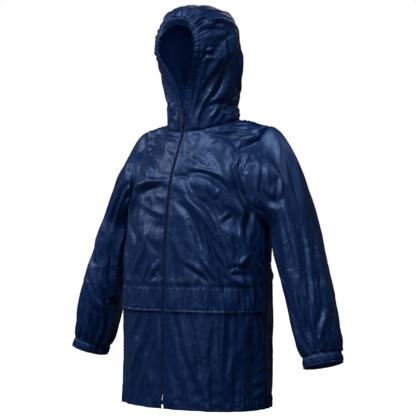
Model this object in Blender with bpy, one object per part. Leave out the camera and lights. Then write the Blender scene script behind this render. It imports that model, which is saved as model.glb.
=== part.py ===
"""Child's hooded rain jacket in crisp coated nylon, standing in its worn shape with nobody inside.

Metres, +Z up. The front faces -Y and the wearer's left is +X. The origin is the middle of the neck
at shoulder height, where the wearer's shoulders carry the jacket. Every cut piece is a thin wall
built through a grid of points on its outer side, and its folds are rows of a table.
"""

import math
from collections import namedtuple

import bmesh
import bpy
import mathutils
import numpy as np

MM = 0.001

# Cloth and seams
CLOTH = 1.5 * MM
SEAM_GAP = 0.3 * MM

# Lengths up the body
HEM_Z = -0.592
UNDERARM_Z = -0.172
FLAP_TOP_Z = -0.325
FLAP_BOTTOM_Z = -0.381
ZIP_TOP_Z = 0.060
ZIP_FOOT = 0.009

# Neck opening: an oval that rises towards the back
NECK_HALF_WIDTH = 0.083
NECK_FRONT_DEPTH = 0.0775
NECK_BACK_DEPTH = 0.085
NECK_Y = 0.0235
NECK_FRONT_Z = 0.016
NECK_SIDE_Z = 0.040
NECK_BACK_Z = 0.054
SHOULDER_ANGLE = 95.0
SHOULDER_BOW = 0.003

# Zip
ZIP_EDGE = 0.003
COIL_HALF_WIDTH = 0.0026
COIL_DEPTH = 0.0024
COIL_SET_IN = 0.5 * MM
# Share of a front's width that its tape takes
TAPE_SHARE = 0.042
TAPE_SET_IN = 2.2 * MM
TAPE_THICKNESS = 0.8 * MM
BOX_HEIGHT = 0.0095
BOX_DEPTH = (-0.6 * MM, 3.2 * MM)

# Slider: two plates on a wedge, with a bail in front. Depths are from the face of the zip.
SLIDER_HALF_WIDTH = 0.0045
SLIDER_Z = (0.0545, 0.0665)
FRONT_PLATE = (-2.9 * MM, -1.1 * MM)
REAR_PLATE = (3.4 * MM, 4.6 * MM)
WEDGE_HALF_WIDTH = 1.6 * MM
WEDGE_DROP = (4.2 * MM, 0.6 * MM)
PLATE_GRIP = 0.9 * MM
BAIL_FRONT = -6.3 * MM
BAIL_HALF_WIDTH = 1.2 * MM
BAIL_WIRE = 1.3 * MM
BAIL_TOP_DROP = 0.7 * MM
BAIL_FOOT_RISE = 1.0 * MM

# Pull tab: a plate with an open ring at its top for the bail
PULL_HINGE_Z = 0.0615
PULL_HALF_WIDTH = 0.0042
PULL_LENGTH = 0.033
PULL_THICKNESS = 1.4 * MM
PULL_RING_HEIGHT = 8.5 * MM

# Grid of the panels
LOWER_ROWS = 16
YOKE_ROWS = 10
NECK_COLUMNS = 7
SHOULDER_COLUMNS = 6
NECK_SHARE = 0.54
CAP_ROWS = 8
ARM_ROWS = 14
HOOD_SIDE_ROWS = 9
HOOD_TOP_ROWS = 9

# Elastic: steps of the finer edge for each step of the panel, and gathers round each opening
CASING_STEPS = 4
CUFF_STEPS = 3
HOOD_GATHERS = 36
CUFF_GATHERS = 15
CASING_THICKNESS = 2.4 * MM

# The crown leans by this much, from none at the first height to all of it at the second
HOOD_LEAN = -0.002
HOOD_LEAN_Z = (0.08, 0.28)

# Sizes of the flat plans, in mm
QUARTER_GIRTH = 287.0
YOKE_HEIGHT = 200.0
SLEEVE_ROUND = 350.0
CAP_HEIGHT = 120.0
ARM_HEIGHT = 290.0
HOOD_BACK = 300.0
HOOD_UP = 190.0

Section = namedtuple("Section", "z half_width front back side")
SECTIONS = (
    Section(HEM_Z, 0.184, -0.132, 0.123, -0.004),
    Section(-0.470, 0.183, -0.129, 0.123, -0.004),
    Section(-0.330, 0.183, -0.127, 0.123, -0.003),
    Section(-0.230, 0.181, -0.123, 0.122, 0.001),
    Section(UNDERARM_Z, 0.178, -0.116, 0.121, 0.006),
)

# Centre front and centre back from the underarm line (0) to the neck seam (1)
Centre = namedtuple("Centre", "rise front back")
CENTRES = (
    Centre(0.00, -0.116, 0.121),
    Centre(0.22, -0.109, 0.124),
    Centre(0.44, -0.100, 0.126),
    Centre(0.62, -0.087, 0.125),
    Centre(0.77, -0.073, 0.121),
    Centre(1.00, NECK_Y - NECK_FRONT_DEPTH, NECK_Y + NECK_BACK_DEPTH),
)

# Armhole of the left side: down the front from the shoulder tip, up the back
Hole = namedtuple("Hole", "x y z")
ARMHOLE = (
    Hole(0.166, 0.040, 0.0255),
    Hole(0.154, 0.007, -0.014),
    Hole(0.157, -0.028, -0.045),
    Hole(0.155, -0.054, -0.086),
    Hole(0.160, -0.054, -0.122),
    Hole(0.169, -0.034, -0.152),
    Hole(0.178, 0.006, UNDERARM_Z),
    Hole(0.176, 0.050, -0.160),
    Hole(0.169, 0.084, -0.125),
    Hole(0.164, 0.097, -0.085),
    Hole(0.162, 0.092, -0.045),
    Hole(0.164, 0.070, -0.004),
)

# Sleeve of the left side, from just under the armhole to the wrist
Ring = namedtuple("Ring", "x y z half_width half_depth")
SLEEVE = (
    Ring(0.2350, 0.034, -0.200, 0.048, 0.061),
    Ring(0.2500, 0.027, -0.2545, 0.051, 0.061),
    Ring(0.2680, 0.022, -0.310, 0.051, 0.060),
    Ring(0.2840, 0.018, -0.3567, 0.051, 0.060),
    Ring(0.3015, 0.0175, -0.420, 0.050, 0.059),
    Ring(0.3098, 0.0165, -0.450, 0.046, 0.054),
    Ring(0.3155, 0.0145, -0.4695, 0.040, 0.048),
)
CUFF_END = (0.321, 0.0105, -0.4915)

# Hood: bows from the face opening to the nape. foot is the angle round the neck seam, in degrees.
Bow = namedtuple("Bow", "foot side_x side_y side_z top_y top_z")
HOOD = (
    Bow(2.0, 0.053, -0.083, 0.197, -0.080, 0.250),
    Bow(9.0, 0.062, -0.074, 0.199, -0.086, 0.267),
    Bow(18.0, 0.070, -0.064, 0.200, -0.074, 0.283),
    Bow(42.0, 0.080, -0.040, 0.200, -0.036, 0.299),
    Bow(75.0, 0.091, -0.002, 0.196, 0.026, 0.304),
    Bow(95.0, 0.092, 0.024, 0.192, 0.070, 0.297),
    Bow(119.0, 0.083, 0.057, 0.172, 0.105, 0.264),
    Bow(144.0, 0.059, 0.088, 0.126, 0.1100, 0.188),
    Bow(156.0, 0.041, 0.099, 0.092, 0.1095, 0.128),
    Bow(168.0, 0.0085, 0.1075, 0.0540, 0.1085, 0.0542),
)
NECK_FRONT_ANGLES = (2.0, 9.0, 18.0, 29.0, 42.0, 57.0, 75.0, 95.0)

# Cuff from the wrist seam (0) to its end (1), and how far its gathers swell there, in mm
CUFF_ROWS = ((0.0, 0.0), (0.3, 2.2), (0.7, 2.4), (1.0, 1.6))
CUFF_PUFF = 0.8 * MM

# Flap from its free edge up to its seam: height, and how far it stands off the front, in mm
FLAP_ROWS = ((FLAP_BOTTOM_Z, 5.5), (-0.367, 4.6), (-0.346, 3.2), (FLAP_TOP_Z, 2.4))
FLAP_ENDS = (0.035, 0.975)

# Folds of each piece on its own flat plan, in mm. Fronts and back: x from the centre line, y up from
# the hem. Sleeves: x round from the top line towards the front, y down from the armhole. Hood: x back
# from the face opening, y up from the neck seam. bow pushes the middle sideways, a height below 0 is
# a hollow.
Fold = namedtuple("Fold", "x0 y0 x1 y1 bow width height")
FOLDS = {
    "front_left": (
        Fold(40, 560, 225, 430, 30, 21, 5),
        Fold(60, 520, 235, 395, 34, 20, -5),
        Fold(20, 470, 130, 395, 10, 23, 4),
        Fold(110, 600, 250, 575, 8, 21, -4),
        Fold(150, 400, 215, 315, -10, 22, 4),
        Fold(160, 190, 165, 20, 4, 25, 3),
        Fold(60, 190, 85, 40, 6, 23, 3),
        Fold(235, 180, 228, 20, -5, 23, -3),
    ),
    "front_right": (
        Fold(45, 560, 200, 520, -12, 21, -4),
        Fold(60, 520, 190, 450, 14, 23, 5),
        Fold(60, 400, 40, 300, 8, 23, 3),
        Fold(190, 430, 215, 330, 5, 23, -4),
        Fold(75, 190, 100, 50, -6, 25, 3),
        Fold(190, 190, 180, 30, 6, 25, -3),
    ),
    "back": (
        Fold(-190, 520, -60, 420, 18, 27, 5),
        Fold(200, 530, 70, 430, -20, 27, 5),
        Fold(-60, 560, 80, 550, 12, 25, -4),
        Fold(-160, 330, -120, 40, 10, 29, 4),
        Fold(30, 300, 10, 30, -8, 29, -4),
        Fold(170, 320, 150, 40, -10, 29, 4),
        Fold(-20, 440, -60, 330, 10, 27, 3),
    ),
    "sleeve_left": (
        Fold(60, 60, 85, 330, 12, 20, 4),
        Fold(110, 90, 120, 300, -10, 20, -4),
        Fold(300, 40, 330, 300, 12, 21, 4),
        Fold(210, 90, 235, 300, -10, 23, -4),
    ),
    "sleeve_right": (
        Fold(45, 70, 90, 340, -12, 20, 4),
        Fold(120, 170, 40, 215, 10, 20, -5),
        Fold(95, 240, 150, 300, 8, 20, 4),
        Fold(300, 50, 320, 310, -12, 21, 4),
        Fold(220, 80, 230, 320, 10, 23, -4),
    ),
    "hood_left": (
        Fold(105, 195, 30, 60, 6, 20, 6),
        Fold(135, 185, 70, 60, 4, 20, -6),
        Fold(150, 30, 260, 45, -8, 20, -5),
        Fold(60, 330, 160, 270, 12, 21, 4),
        Fold(190, 230, 215, 90, 10, 23, 3),
    ),
    "hood_right": (
        Fold(95, 190, 35, 70, 8, 20, 5),
        Fold(130, 170, 80, 50, -6, 20, -5),
        Fold(160, 35, 265, 50, -8, 20, -5),
        Fold(70, 320, 170, 290, 10, 21, 4),
        Fold(200, 220, 190, 100, 12, 23, -3),
    ),
}


def smooth(places, values, at):
    """A cubic curve through values at places, read at at."""
    places = np.asarray(places, float)
    values = np.asarray(values, float)
    slopes = np.gradient(values, places, axis=0)
    at = np.asarray(at, float)
    i = np.clip(np.searchsorted(places, at, side="right") - 1, 0, len(places) - 2)
    step = places[i + 1] - places[i]
    k = (at - places[i]) / step
    if values.ndim == 2:
        k, step = k[..., None], step[..., None]
    return (
        values[i] * (1 + 2 * k) * (1 - k) ** 2
        + values[i + 1] * k * k * (3 - 2 * k)
        + step * (slopes[i] * k * (1 - k) ** 2 + slopes[i + 1] * k * k * (k - 1))
    )


def ease(k):
    k = np.clip(k, 0.0, 1.0)
    return k * k * (3 - 2 * k)


def unit(vectors):
    return vectors / np.maximum(np.linalg.norm(vectors, axis=-1, keepdims=True), 1e-12)


def points(x, y, z):
    return np.stack(np.broadcast_arrays(x, y, z), axis=-1).astype(float)


def columns(table, *names):
    return [[getattr(row, name) for row in table] for name in names]


def neck_point(angle):
    """A point of the neck seam, angle in degrees from the centre front."""
    t = np.radians(angle)
    depth = np.where(np.cos(t) > 0, NECK_FRONT_DEPTH, NECK_BACK_DEPTH)
    middle = (NECK_FRONT_Z + NECK_BACK_Z) / 2
    rise = (NECK_BACK_Z - NECK_FRONT_Z) / 2
    side = NECK_SIDE_Z - middle
    z = middle - rise * np.cos(t) + side * np.sin(t) ** 2
    return points(NECK_HALF_WIDTH * np.sin(t), NECK_Y - depth * np.cos(t), z)


def armhole_point(s):
    """The armhole at s: 0 at the shoulder tip, 0.5 at the underarm, 1 back at the tip."""
    rows = np.array(ARMHOLE)
    places = np.arange(-2, len(rows) + 3) / len(rows)
    around = rows[np.arange(-2, len(rows) + 3) % len(rows)]
    return smooth(places, around, s)


def top_point(u, front):
    """The panel's top edge: neck seam, then the shoulder seam out to the armhole."""
    first = np.asarray(NECK_FRONT_ANGLES)
    if front:
        angle = np.interp(u / NECK_SHARE, np.linspace(0, 1, len(first)), first)
    else:
        angle = 180 - (180 - SHOULDER_ANGLE) * np.clip(u / NECK_SHARE, 0, 1)
    along = np.clip((u - NECK_SHARE) / (1 - NECK_SHARE), 0, 1)[..., None]
    neck = neck_point(np.clip(angle, 0, 180))
    tip = armhole_point(np.zeros_like(u))
    bow = SHOULDER_BOW * 4 * along * (1 - along) * np.array([0.0, 0.0, 1.0])
    shoulder = neck_point(np.full_like(u, SHOULDER_ANGLE)) * (1 - along) + tip * along
    return np.where(u[..., None] <= NECK_SHARE, neck, shoulder + bow)


def waist_point(u, z, front):
    """The body below the armholes at height z, u from the centre line to the side seam."""
    width, fore, rear, side = (
        smooth(*columns(SECTIONS, "z", name), z)
        for name in ("half_width", "front", "back", "side")
    )
    start = np.arcsin(ZIP_EDGE / width) if front else 0.0
    t = start + (math.pi / 2 - start) * u
    y = side - (side - (fore if front else rear)) * np.cos(t)
    return points(width * np.sin(t), y, z)


def yoke_point(u, rise, front):
    """The body between the underarm line (rise 0) and the neck and shoulder seams (rise 1)."""
    sign = 1.0 if front else -1.0

    def leaving(share):
        """Up from the underarm line, in line with the body below it."""
        step = 0.004
        here, below = (
            waist_point(share, np.full_like(share, UNDERARM_Z - drop), front) for drop in (0.0, step)
        )
        return (here - below) / step * (0.26 + 0.05 * ease(share / NECK_SHARE))[..., None]

    def arriving(share):
        """Square to the neck seam near the centre, square to the shoulder seam further out."""
        turn = math.pi / 2 * np.clip(share / NECK_SHARE, 0, 1)
        past = ease((share - 0.45 * NECK_SHARE) / (1.1 * NECK_SHARE))
        inward = points(-np.sin(turn), sign * np.cos(turn), 0.0)
        across = points(0.0, sign * np.ones_like(share), 0.0)
        flat = inward * (1 - past[..., None]) + across * past[..., None]
        reach = ease(share / NECK_SHARE)
        lift = points(0.0, 0.0, 0.17 - 0.10 * reach)
        return flat * (0.07 + 0.13 * reach)[..., None] + lift

    low = waist_point(u, np.full_like(u, UNDERARM_Z), front)
    top = top_point(u, front)

    def rib(low, top, leave, arrive, k):
        k = k[..., None]
        return (
            low * (1 + 2 * k) * (1 - k) ** 2
            + top * k * k * (3 - 2 * k)
            + leave * k * (1 - k) ** 2
            + arrive * k * k * (k - 1)
        )

    here = rib(low, top, leaving(u), arriving(u), rise)
    at_side = np.ones_like(u)
    side_low = waist_point(at_side, np.full_like(u, UNDERARM_Z), front)
    side_top = top_point(at_side, front)
    side = rib(side_low, side_top, leaving(at_side), arriving(at_side), rise)
    hole = armhole_point(0.5 * (1 - rise) if front else 0.5 + 0.5 * rise)

    at_centre = np.zeros_like(u)
    mid_low = waist_point(at_centre, np.full_like(u, UNDERARM_Z), front)
    mid_top = top_point(at_centre, front)
    middle = rib(mid_low, mid_top, leaving(at_centre), arriving(at_centre), rise)
    line = smooth(*columns(CENTRES, "rise", "front" if front else "back"), rise)
    x = ZIP_EDGE if front else 0.0
    centre = points(x, line, mid_low[..., 2] + (mid_top[..., 2] - mid_low[..., 2]) * rise)

    near_side = (u**2)[..., None]
    near_centre = ((1 - u) ** 2)[..., None]
    return here + near_side * (hole - side) + near_centre * (centre - middle)


def body_point(u, v, front):
    """v runs 0 to 1 from the hem to the underarm line, and 1 to 2 on to the neck and shoulder."""
    z = HEM_Z + (UNDERARM_Z - HEM_Z) * np.minimum(v, 1)
    low = waist_point(u, z, front)
    high = yoke_point(u, np.clip(v - 1, 0, 1), front)
    return np.where(v[..., None] <= 1, low, high)


def sleeve_frame(z):
    """Centre, axis and the two cross directions of the sleeve at height z."""
    rows = np.array(SLEEVE)[::-1]
    centre = smooth(rows[:, 2], rows[:, :3], z)
    step = 0.004
    axis = unit(smooth(rows[:, 2], rows[:, :3], z - step) - smooth(rows[:, 2], rows[:, :3], z + step))
    out = np.array([1.0, 0.0, 0.0])
    out = unit(out - axis * (axis @ out)[..., None])
    back = np.cross(out, axis)
    size = smooth(rows[:, 2], rows[:, 3:], z)
    return centre, axis, out, back, size


def ring_point(s, z, grow=0.0):
    centre, _, out, back, size = sleeve_frame(z)
    t = 2 * np.pi * s
    return (
        centre
        + out * ((size[..., 0] + grow) * np.cos(t))[..., None]
        - back * ((size[..., 1] + grow) * np.sin(t))[..., None]
    )


def cap_point(s, k):
    """The sleeve head, from the armhole (k 0) to the first ring (k 1)."""
    start = armhole_point(s)
    first = np.full_like(s, SLEEVE[0].z)
    end = ring_point(s, first)
    _, axis, _, _, _ = sleeve_frame(first)
    over = np.cos(2 * np.pi * s)
    along = np.sin(2 * np.pi * s)
    leave = points(0.086 + 0.075 * over + 0.022 * over**2, -0.045 * along, -0.028 + 0.048 * over)
    arrive = axis * (0.115 + 0.070 * over)[..., None]
    k = k[..., None]
    return (
        start * (1 + 2 * k) * (1 - k) ** 2
        + end * k * k * (3 - 2 * k)
        + leave * k * (1 - k) ** 2
        + arrive * k * k * (k - 1)
    )


def sleeve_point(s, w):
    """w runs 0 to 1 down the sleeve head and 1 to 2 down to the wrist seam."""
    z = SLEEVE[0].z + (SLEEVE[-1].z - SLEEVE[0].z) * np.clip(w - 1, 0, 1)
    low = ring_point(s, z)
    return np.where(w[..., None] <= 1, cap_point(s, np.clip(w, 0, 1)), low)


def hood_point(foot, rise):
    """The left half of the hood: foot in degrees round the neck, rise 0 to 1 up to the widest
    place and 1 to 2 over to the centre seam."""
    side = points(*(smooth(*columns(HOOD, "foot", name), foot) for name in ("side_x", "side_y", "side_z")))
    top_y, top_z = (smooth(*columns(HOOD, "foot", name), foot) for name in ("top_y", "top_z"))
    base = neck_point(foot)
    k = np.clip(rise, 0, 1)
    spread = (ease(k) ** 2.4)[..., None]
    up = k[..., None]
    low = base + (side - base) * np.concatenate([spread, spread, up], axis=-1)
    a = np.clip(rise - 1, 0, 1) * math.pi / 2
    fullness = 0.84
    high = points(
        side[..., 0] * np.maximum(np.cos(a), 0) ** fullness,
        side[..., 1] + (top_y - side[..., 1]) * np.sin(a) ** 2,
        side[..., 2] + (top_z - side[..., 2]) * np.sin(a) ** fullness,
    )
    return np.where((rise <= 1)[..., None], low, high)


def fold_heights(name, x, y, turn=None):
    """How far each point of a piece's flat plan stands off its plain form, in metres."""
    total = np.zeros_like(x)
    for row in FOLDS[name]:
        run = np.array([row.x1 - row.x0, row.y1 - row.y0], float)
        length = np.hypot(*run)
        away = x - row.x0
        if turn:
            middle = run[0] / 2
            away = (away - middle + turn / 2) % turn - turn / 2 + middle
        along = (away * run[0] + (y - row.y0) * run[1]) / length**2
        across = (away * run[1] - (y - row.y0) * run[0]) / length - row.bow * 4 * along * (1 - along)
        fade = np.sin(np.pi * np.clip(along, 0, 1)) ** 0.7
        total += row.height * fade * np.exp(-((across / row.width) ** 2))
    return total * MM


def edge_fade(rows, cols, edges):
    """0 on the named edges and 1 from two steps in."""
    r, c = np.meshgrid(np.arange(rows), np.arange(cols), indexing="ij")
    steps = {"bottom": r, "top": rows - 1 - r, "first": c, "last": cols - 1 - c}
    fade = np.ones((rows, cols))
    for edge in edges:
        fade = fade * np.clip(steps[edge] / 2, 0, 1)
    return fade


def relax(grid, fixed_rows, times=10):
    """Even out the inner points of a grid between its edges, leaving the first rows alone."""
    grid = grid.copy()
    for _ in range(times):
        middle = (
            grid[fixed_rows - 1 : -2, 1:-1]
            + grid[fixed_rows + 1 :, 1:-1]
            + grid[fixed_rows:-1, :-2]
            + grid[fixed_rows:-1, 2:]
        ) / 4
        grid[fixed_rows:-1, 1:-1] = grid[fixed_rows:-1, 1:-1] * 0.4 + middle * 0.6
    return grid


def normals_of(grid, closed):
    """Outward directions of a grid of points whose rows run up and columns run round."""
    if closed:
        across = np.roll(grid, -1, axis=1) - np.roll(grid, 1, axis=1)
    else:
        across = np.gradient(grid, axis=1)
    return unit(np.cross(across, np.gradient(grid, axis=0)))


def mesh_object(name, coordinates, faces, material):
    mesh = bpy.data.meshes.new(name)
    mesh.from_pydata([tuple(p) for p in coordinates], [], faces)
    mesh.update()
    mesh.shade_smooth()
    mesh.materials.append(material)
    obj = bpy.data.objects.new(name, mesh)
    bpy.context.scene.collection.objects.link(obj)
    return obj


def wall_faces(grid, closed):
    """Faces of a wall: the grid's outer points, then as many inner points. Both skins are split
    along the same, shorter diagonal of each cell, so that they never meet."""
    rows, cols = grid.shape[:2]
    count = rows * cols
    wide = cols if closed else cols - 1
    flat = grid.reshape(-1, 3)

    def at(r, c):
        return r * cols + c % cols

    faces = []
    for r in range(rows - 1):
        for c in range(wide):
            a, b, d, e = at(r, c), at(r, c + 1), at(r + 1, c + 1), at(r + 1, c)
            if np.linalg.norm(flat[a] - flat[d]) < np.linalg.norm(flat[b] - flat[e]):
                halves = ((a, b, d), (a, d, e))
            else:
                halves = ((a, b, e), (b, d, e))
            for half in halves:
                faces.append(half)
                faces.append(tuple(i + count for i in reversed(half)))
    for c in range(wide):
        for r, flip in ((0, True), (rows - 1, False)):
            quad = (at(r, c), at(r, c + 1), at(r, c + 1) + count, at(r, c) + count)
            faces.append(tuple(reversed(quad)) if flip else quad)
    if not closed:
        for r in range(rows - 1):
            for c, flip in ((0, False), (cols - 1, True)):
                quad = (at(r, c), at(r + 1, c), at(r + 1, c) + count, at(r, c) + count)
                faces.append(tuple(reversed(quad)) if flip else quad)
    return faces


class Panel:
    """A cut piece as a grid of outer points, with the edges that are sewn to a neighbour."""

    def __init__(self, name, grid, closed=False, sewn=(), thickness=CLOTH, level_rows=()):
        self.name = name
        self.grid = grid
        self.closed = closed
        self.thickness = thickness
        self.sewn = np.zeros(grid.shape[:2], bool)
        for edge in sewn:
            self.sewn[edge] = True
        self.own = normals_of(grid, closed)
        for row, axis in level_rows:
            slant = (self.own[row] @ axis)[:, None]
            self.own[row] = unit(self.own[row] - slant * axis)
        self.inward = self.own.copy()


def mirror(grid):
    """The grid for the other side, its columns turned round to keep it facing out."""
    return grid[:, ::-1] * np.array([-1.0, 1.0, 1.0])


def sew(panels):
    """Give sewn edges that meet one shared direction through the wall, and part them a little."""
    places = np.concatenate([p.grid[p.sewn] for p in panels])
    facing = np.concatenate([p.own[p.sewn] for p in panels])
    near = np.linalg.norm(places[:, None] - places[None], axis=2) < 0.2 * MM
    shared = unit(near.astype(float) @ facing)
    for panel in panels:
        rows, cols = panel.grid.shape[:2]
        moved = panel.grid.copy()
        for r, c in np.argwhere(panel.sewn):
            own = panel.own[r, c]
            hit = int(np.argmin(np.linalg.norm(places - panel.grid[r, c], axis=1)))
            meet = float(shared[hit] @ own)
            inner_r = min(max(r, 1), rows - 2)
            inner_c = c if panel.closed else min(max(c, 1), cols - 2)
            into = unit(panel.grid[inner_r, inner_c] - panel.grid[r, c])
            weight = float(ease((meet - 0.15) / 0.35))
            panel.inward[r, c] = unit(own * (1 - weight) + shared[hit] * weight)
            moved[r, c] += into * SEAM_GAP * 0.6 - own * SEAM_GAP * 0.8 * (1 - weight)
        panel.grid = moved


def along_seam(panel, edge, steps):
    """Bring the in-between points of a finer edge onto the straight runs of its neighbour's edge."""
    count = panel.grid[edge].shape[0]
    knots = np.arange(0, count + (steps if panel.closed else 0), steps)
    wrapped = knots % count
    places = np.arange(count)
    for values in (panel.grid, panel.inward):
        whole = values[edge][wrapped]
        values[edge] = np.stack([np.interp(places, knots, whole[:, i]) for i in range(3)], axis=1)
    panel.inward[edge] = unit(panel.inward[edge])


def build_wall(panel, material):
    slant = np.maximum((panel.inward * panel.own).sum(axis=-1, keepdims=True), 0.6)
    inner = panel.grid - panel.inward * np.asarray(panel.thickness)[..., None] / slant
    both = np.concatenate([panel.grid.reshape(-1, 3), inner.reshape(-1, 3)])
    return mesh_object(panel.name, both, wall_faces(panel.grid, panel.closed), material)


def make_material(name, colour, roughness, metallic=0.0):
    material = bpy.data.materials.new(name)
    material.use_nodes = True
    shader = material.node_tree.nodes["Principled BSDF"]
    shader.inputs["Base Color"].default_value = (*colour, 1.0)
    shader.inputs["Roughness"].default_value = roughness
    shader.inputs["Metallic"].default_value = metallic
    return material


def panel_columns():
    neck = np.linspace(0, NECK_SHARE, NECK_COLUMNS + 1)
    shoulder = np.linspace(NECK_SHARE, 1, SHOULDER_COLUMNS + 1)[1:]
    return np.concatenate([neck, shoulder])


def body_rows():
    return np.concatenate([np.linspace(0, 1, LOWER_ROWS + 1), np.linspace(1, 2, YOKE_ROWS + 1)[1:]])


def plan_height(v):
    """Height up a body panel's plan in mm, v as in body_point."""
    lower = (UNDERARM_Z - HEM_Z) / MM
    return np.minimum(v, 1) * lower + np.maximum(v - 1, 0) * YOKE_HEIGHT


def folded(name, grid, x, y, edges, turn=None):
    """The grid raised by its folds, which end at the named edges. turn is the girth of a tube."""
    heights = fold_heights(name, x, y, turn) * edge_fade(*grid.shape[:2], edges)
    return grid + normals_of(grid, turn is not None) * heights[..., None]


def plain_body(front):
    """Half of the body without its folds, columns from the centre line to the side seam."""
    u, v = np.meshgrid(panel_columns(), body_rows())
    grid = relax(body_point(u, v, front), LOWER_ROWS + 1)
    return u, v, grid


def fronts():
    u, v, left = plain_body(front=True)
    panels = []
    for name, side in (("front_left", 1), ("front_right", -1)):
        x, y = u * QUARTER_GIRTH, plan_height(v)
        grid = left
        if side < 0:
            grid, x, y = mirror(left), x[:, ::-1], y[:, ::-1]
        grid = folded(name, grid, x, y, ("top", "first", "last"))
        seam = np.s_[:, -1] if side > 0 else np.s_[:, 0]
        panels.append(Panel(name, grid, sewn=(seam, np.s_[-1, :])))
    return panels


def back_panel():
    u, v, left = plain_body(front=False)
    left = left[:, ::-1]
    grid = np.concatenate([left, mirror(left)[:, 1:]], axis=1)
    x = np.concatenate([u[:, ::-1], -u[:, 1:]], axis=1) * QUARTER_GIRTH
    y = plan_height(np.concatenate([v, v[:, 1:]], axis=1))
    grid = folded("back", grid, x, y, ("top", "first", "last"))
    return Panel("back", grid, sewn=(np.s_[:, 0], np.s_[:, -1], np.s_[-1, :]))


def sleeve_turns():
    front = np.linspace(0, 0.5, YOKE_ROWS + 1)
    return np.concatenate([front, np.linspace(0.5, 1, YOKE_ROWS + 1)[1:-1]])


def sleeves():
    w = np.concatenate([np.linspace(0, 1, CAP_ROWS + 1), np.linspace(1, 2, ARM_ROWS + 1)[1:]])
    s, w = np.meshgrid(sleeve_turns()[::-1], w[::-1])
    plain = sleeve_point(s, w)
    x = s * SLEEVE_ROUND
    y = np.minimum(w, 1) * CAP_HEIGHT + np.maximum(w - 1, 0) * ARM_HEIGHT
    _, axis, _, _, _ = sleeve_frame(np.array(SLEEVE[-1].z))
    panels = []
    for name, side in (("sleeve_left", 1), ("sleeve_right", -1)):
        grid = folded(name, plain, x, y, ("top", "bottom"), SLEEVE_ROUND)
        facing = axis * np.array([side, 1.0, 1.0])
        if side < 0:
            grid = mirror(grid)
        panels.append(Panel(name, grid, True, (np.s_[0, :], np.s_[-1, :]), level_rows=((0, facing),)))
    return panels


def gathers(turn, count):
    """Uneven waves round an elastic edge, -1 to 1, turn 0 to 1 along it."""
    t = 2 * np.pi * turn
    return 0.75 * np.sin(count * t + 0.9 * np.sin(3 * t)) + 0.25 * np.sin(2 * count * t + 1.3 * np.sin(5 * t))


def cuffs():
    """Turned hem with elastic in it, from the wrist seam to the sleeve's end."""
    turns = sleeve_turns()
    count = len(turns) * CUFF_STEPS
    fine = np.arange(count) / CUFF_STEPS
    s = np.interp(fine, np.arange(len(turns) + 1), np.append(turns, 1.0))[::-1]
    s = np.roll(s, 1)
    last = SLEEVE[-1]
    centre, axis, out, back, size = sleeve_frame(np.array(last.z))
    ends = np.array(CUFF_END)
    t = 2 * np.pi * s
    wave = gathers(s, CUFF_GATHERS)
    rows = []
    for along, swell in CUFF_ROWS:
        place = centre + (ends - centre) * along
        grow = swell * wave * MM + CUFF_PUFF * math.sin(math.pi * along)
        rows.append(
            place
            + out * ((size[0] + grow) * np.cos(t))[:, None]
            - back * ((size[1] + grow) * np.sin(t))[:, None]
        )
    grid = np.array(rows[::-1])
    panels = []
    for name, side in (("cuff_left", 1), ("cuff_right", -1)):
        facing = axis * np.array([side, 1.0, 1.0])
        here = grid if side > 0 else mirror(grid)
        levels = ((len(rows) - 1, facing), (0, facing))
        panel = Panel(name, here, True, (np.s_[-1, :],), CASING_THICKNESS, levels)
        panels.append(panel)
    return panels


def hood_feet():
    rear = np.linspace(SHOULDER_ANGLE, 180, NECK_COLUMNS + 1)[1:-1]
    return np.concatenate([NECK_FRONT_ANGLES[1:], rear])


def hood_rises():
    side = np.linspace(0, 1, HOOD_SIDE_ROWS + 1)
    return np.concatenate([side, np.linspace(1, 2, HOOD_TOP_ROWS + 1)[1:]])


def leaned(grid):
    """The crown sits a little to the wearer's right."""
    low, high = HOOD_LEAN_Z
    share = ease((grid[..., 2] - low) / (high - low))
    return grid + points(HOOD_LEAN * share, 0.0, 0.0)


def hood_halves():
    foot, rise = np.meshgrid(hood_feet(), hood_rises())
    plain = hood_point(foot, rise)
    x = (foot - 2.0) / 178.0 * HOOD_BACK
    y = rise * HOOD_UP
    panels = []
    for name, side in (("hood_left", 1), ("hood_right", -1)):
        grid = folded(name, plain, x, y, ("top", "bottom", "first", "last"))
        if side < 0:
            grid = mirror(grid)
        panels.append(Panel(name, leaned(grid), sewn=(np.s_[0, :], np.s_[-1, :], np.s_[:, 0], np.s_[:, -1])))
    return panels


def hood_casing():
    """Elastic casing round the face, from the zip over the forehead and down to the zip."""
    rises = hood_rises()
    fine = np.interp(
        np.arange((len(rises) - 1) * CASING_STEPS + 1) / CASING_STEPS, np.arange(len(rises)), rises
    )
    step = NECK_FRONT_ANGLES[1] - NECK_FRONT_ANGLES[0]
    tape = TAPE_SHARE / (NECK_SHARE / NECK_COLUMNS)
    feet = NECK_FRONT_ANGLES[0] + step * np.array([0, tape, 1])
    foot, rise = np.meshgrid(feet, fine)
    left = hood_point(foot, rise)
    right = left[-2::-1] * np.array([-1.0, 1.0, 1.0])
    grid = np.concatenate([left, right])
    turn = np.linspace(0, 1, len(grid))
    taut = ease((grid[:, 0, 2] - ZIP_TOP_Z) / 0.05)
    wave = gathers(turn, HOOD_GATHERS) * taut * MM
    swell = np.stack([1.6 * wave, 2.6 * wave, 0 * wave], axis=1)
    grid = grid + normals_of(grid, False) * swell[..., None]
    thickness = CLOTH + (CASING_THICKNESS - CLOTH) * np.repeat(taut[:, None], len(feet), axis=1)
    return Panel("hood_casing", leaned(grid), sewn=(np.s_[:, -1], np.s_[0, :], np.s_[-1, :]), thickness=thickness)


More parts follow.
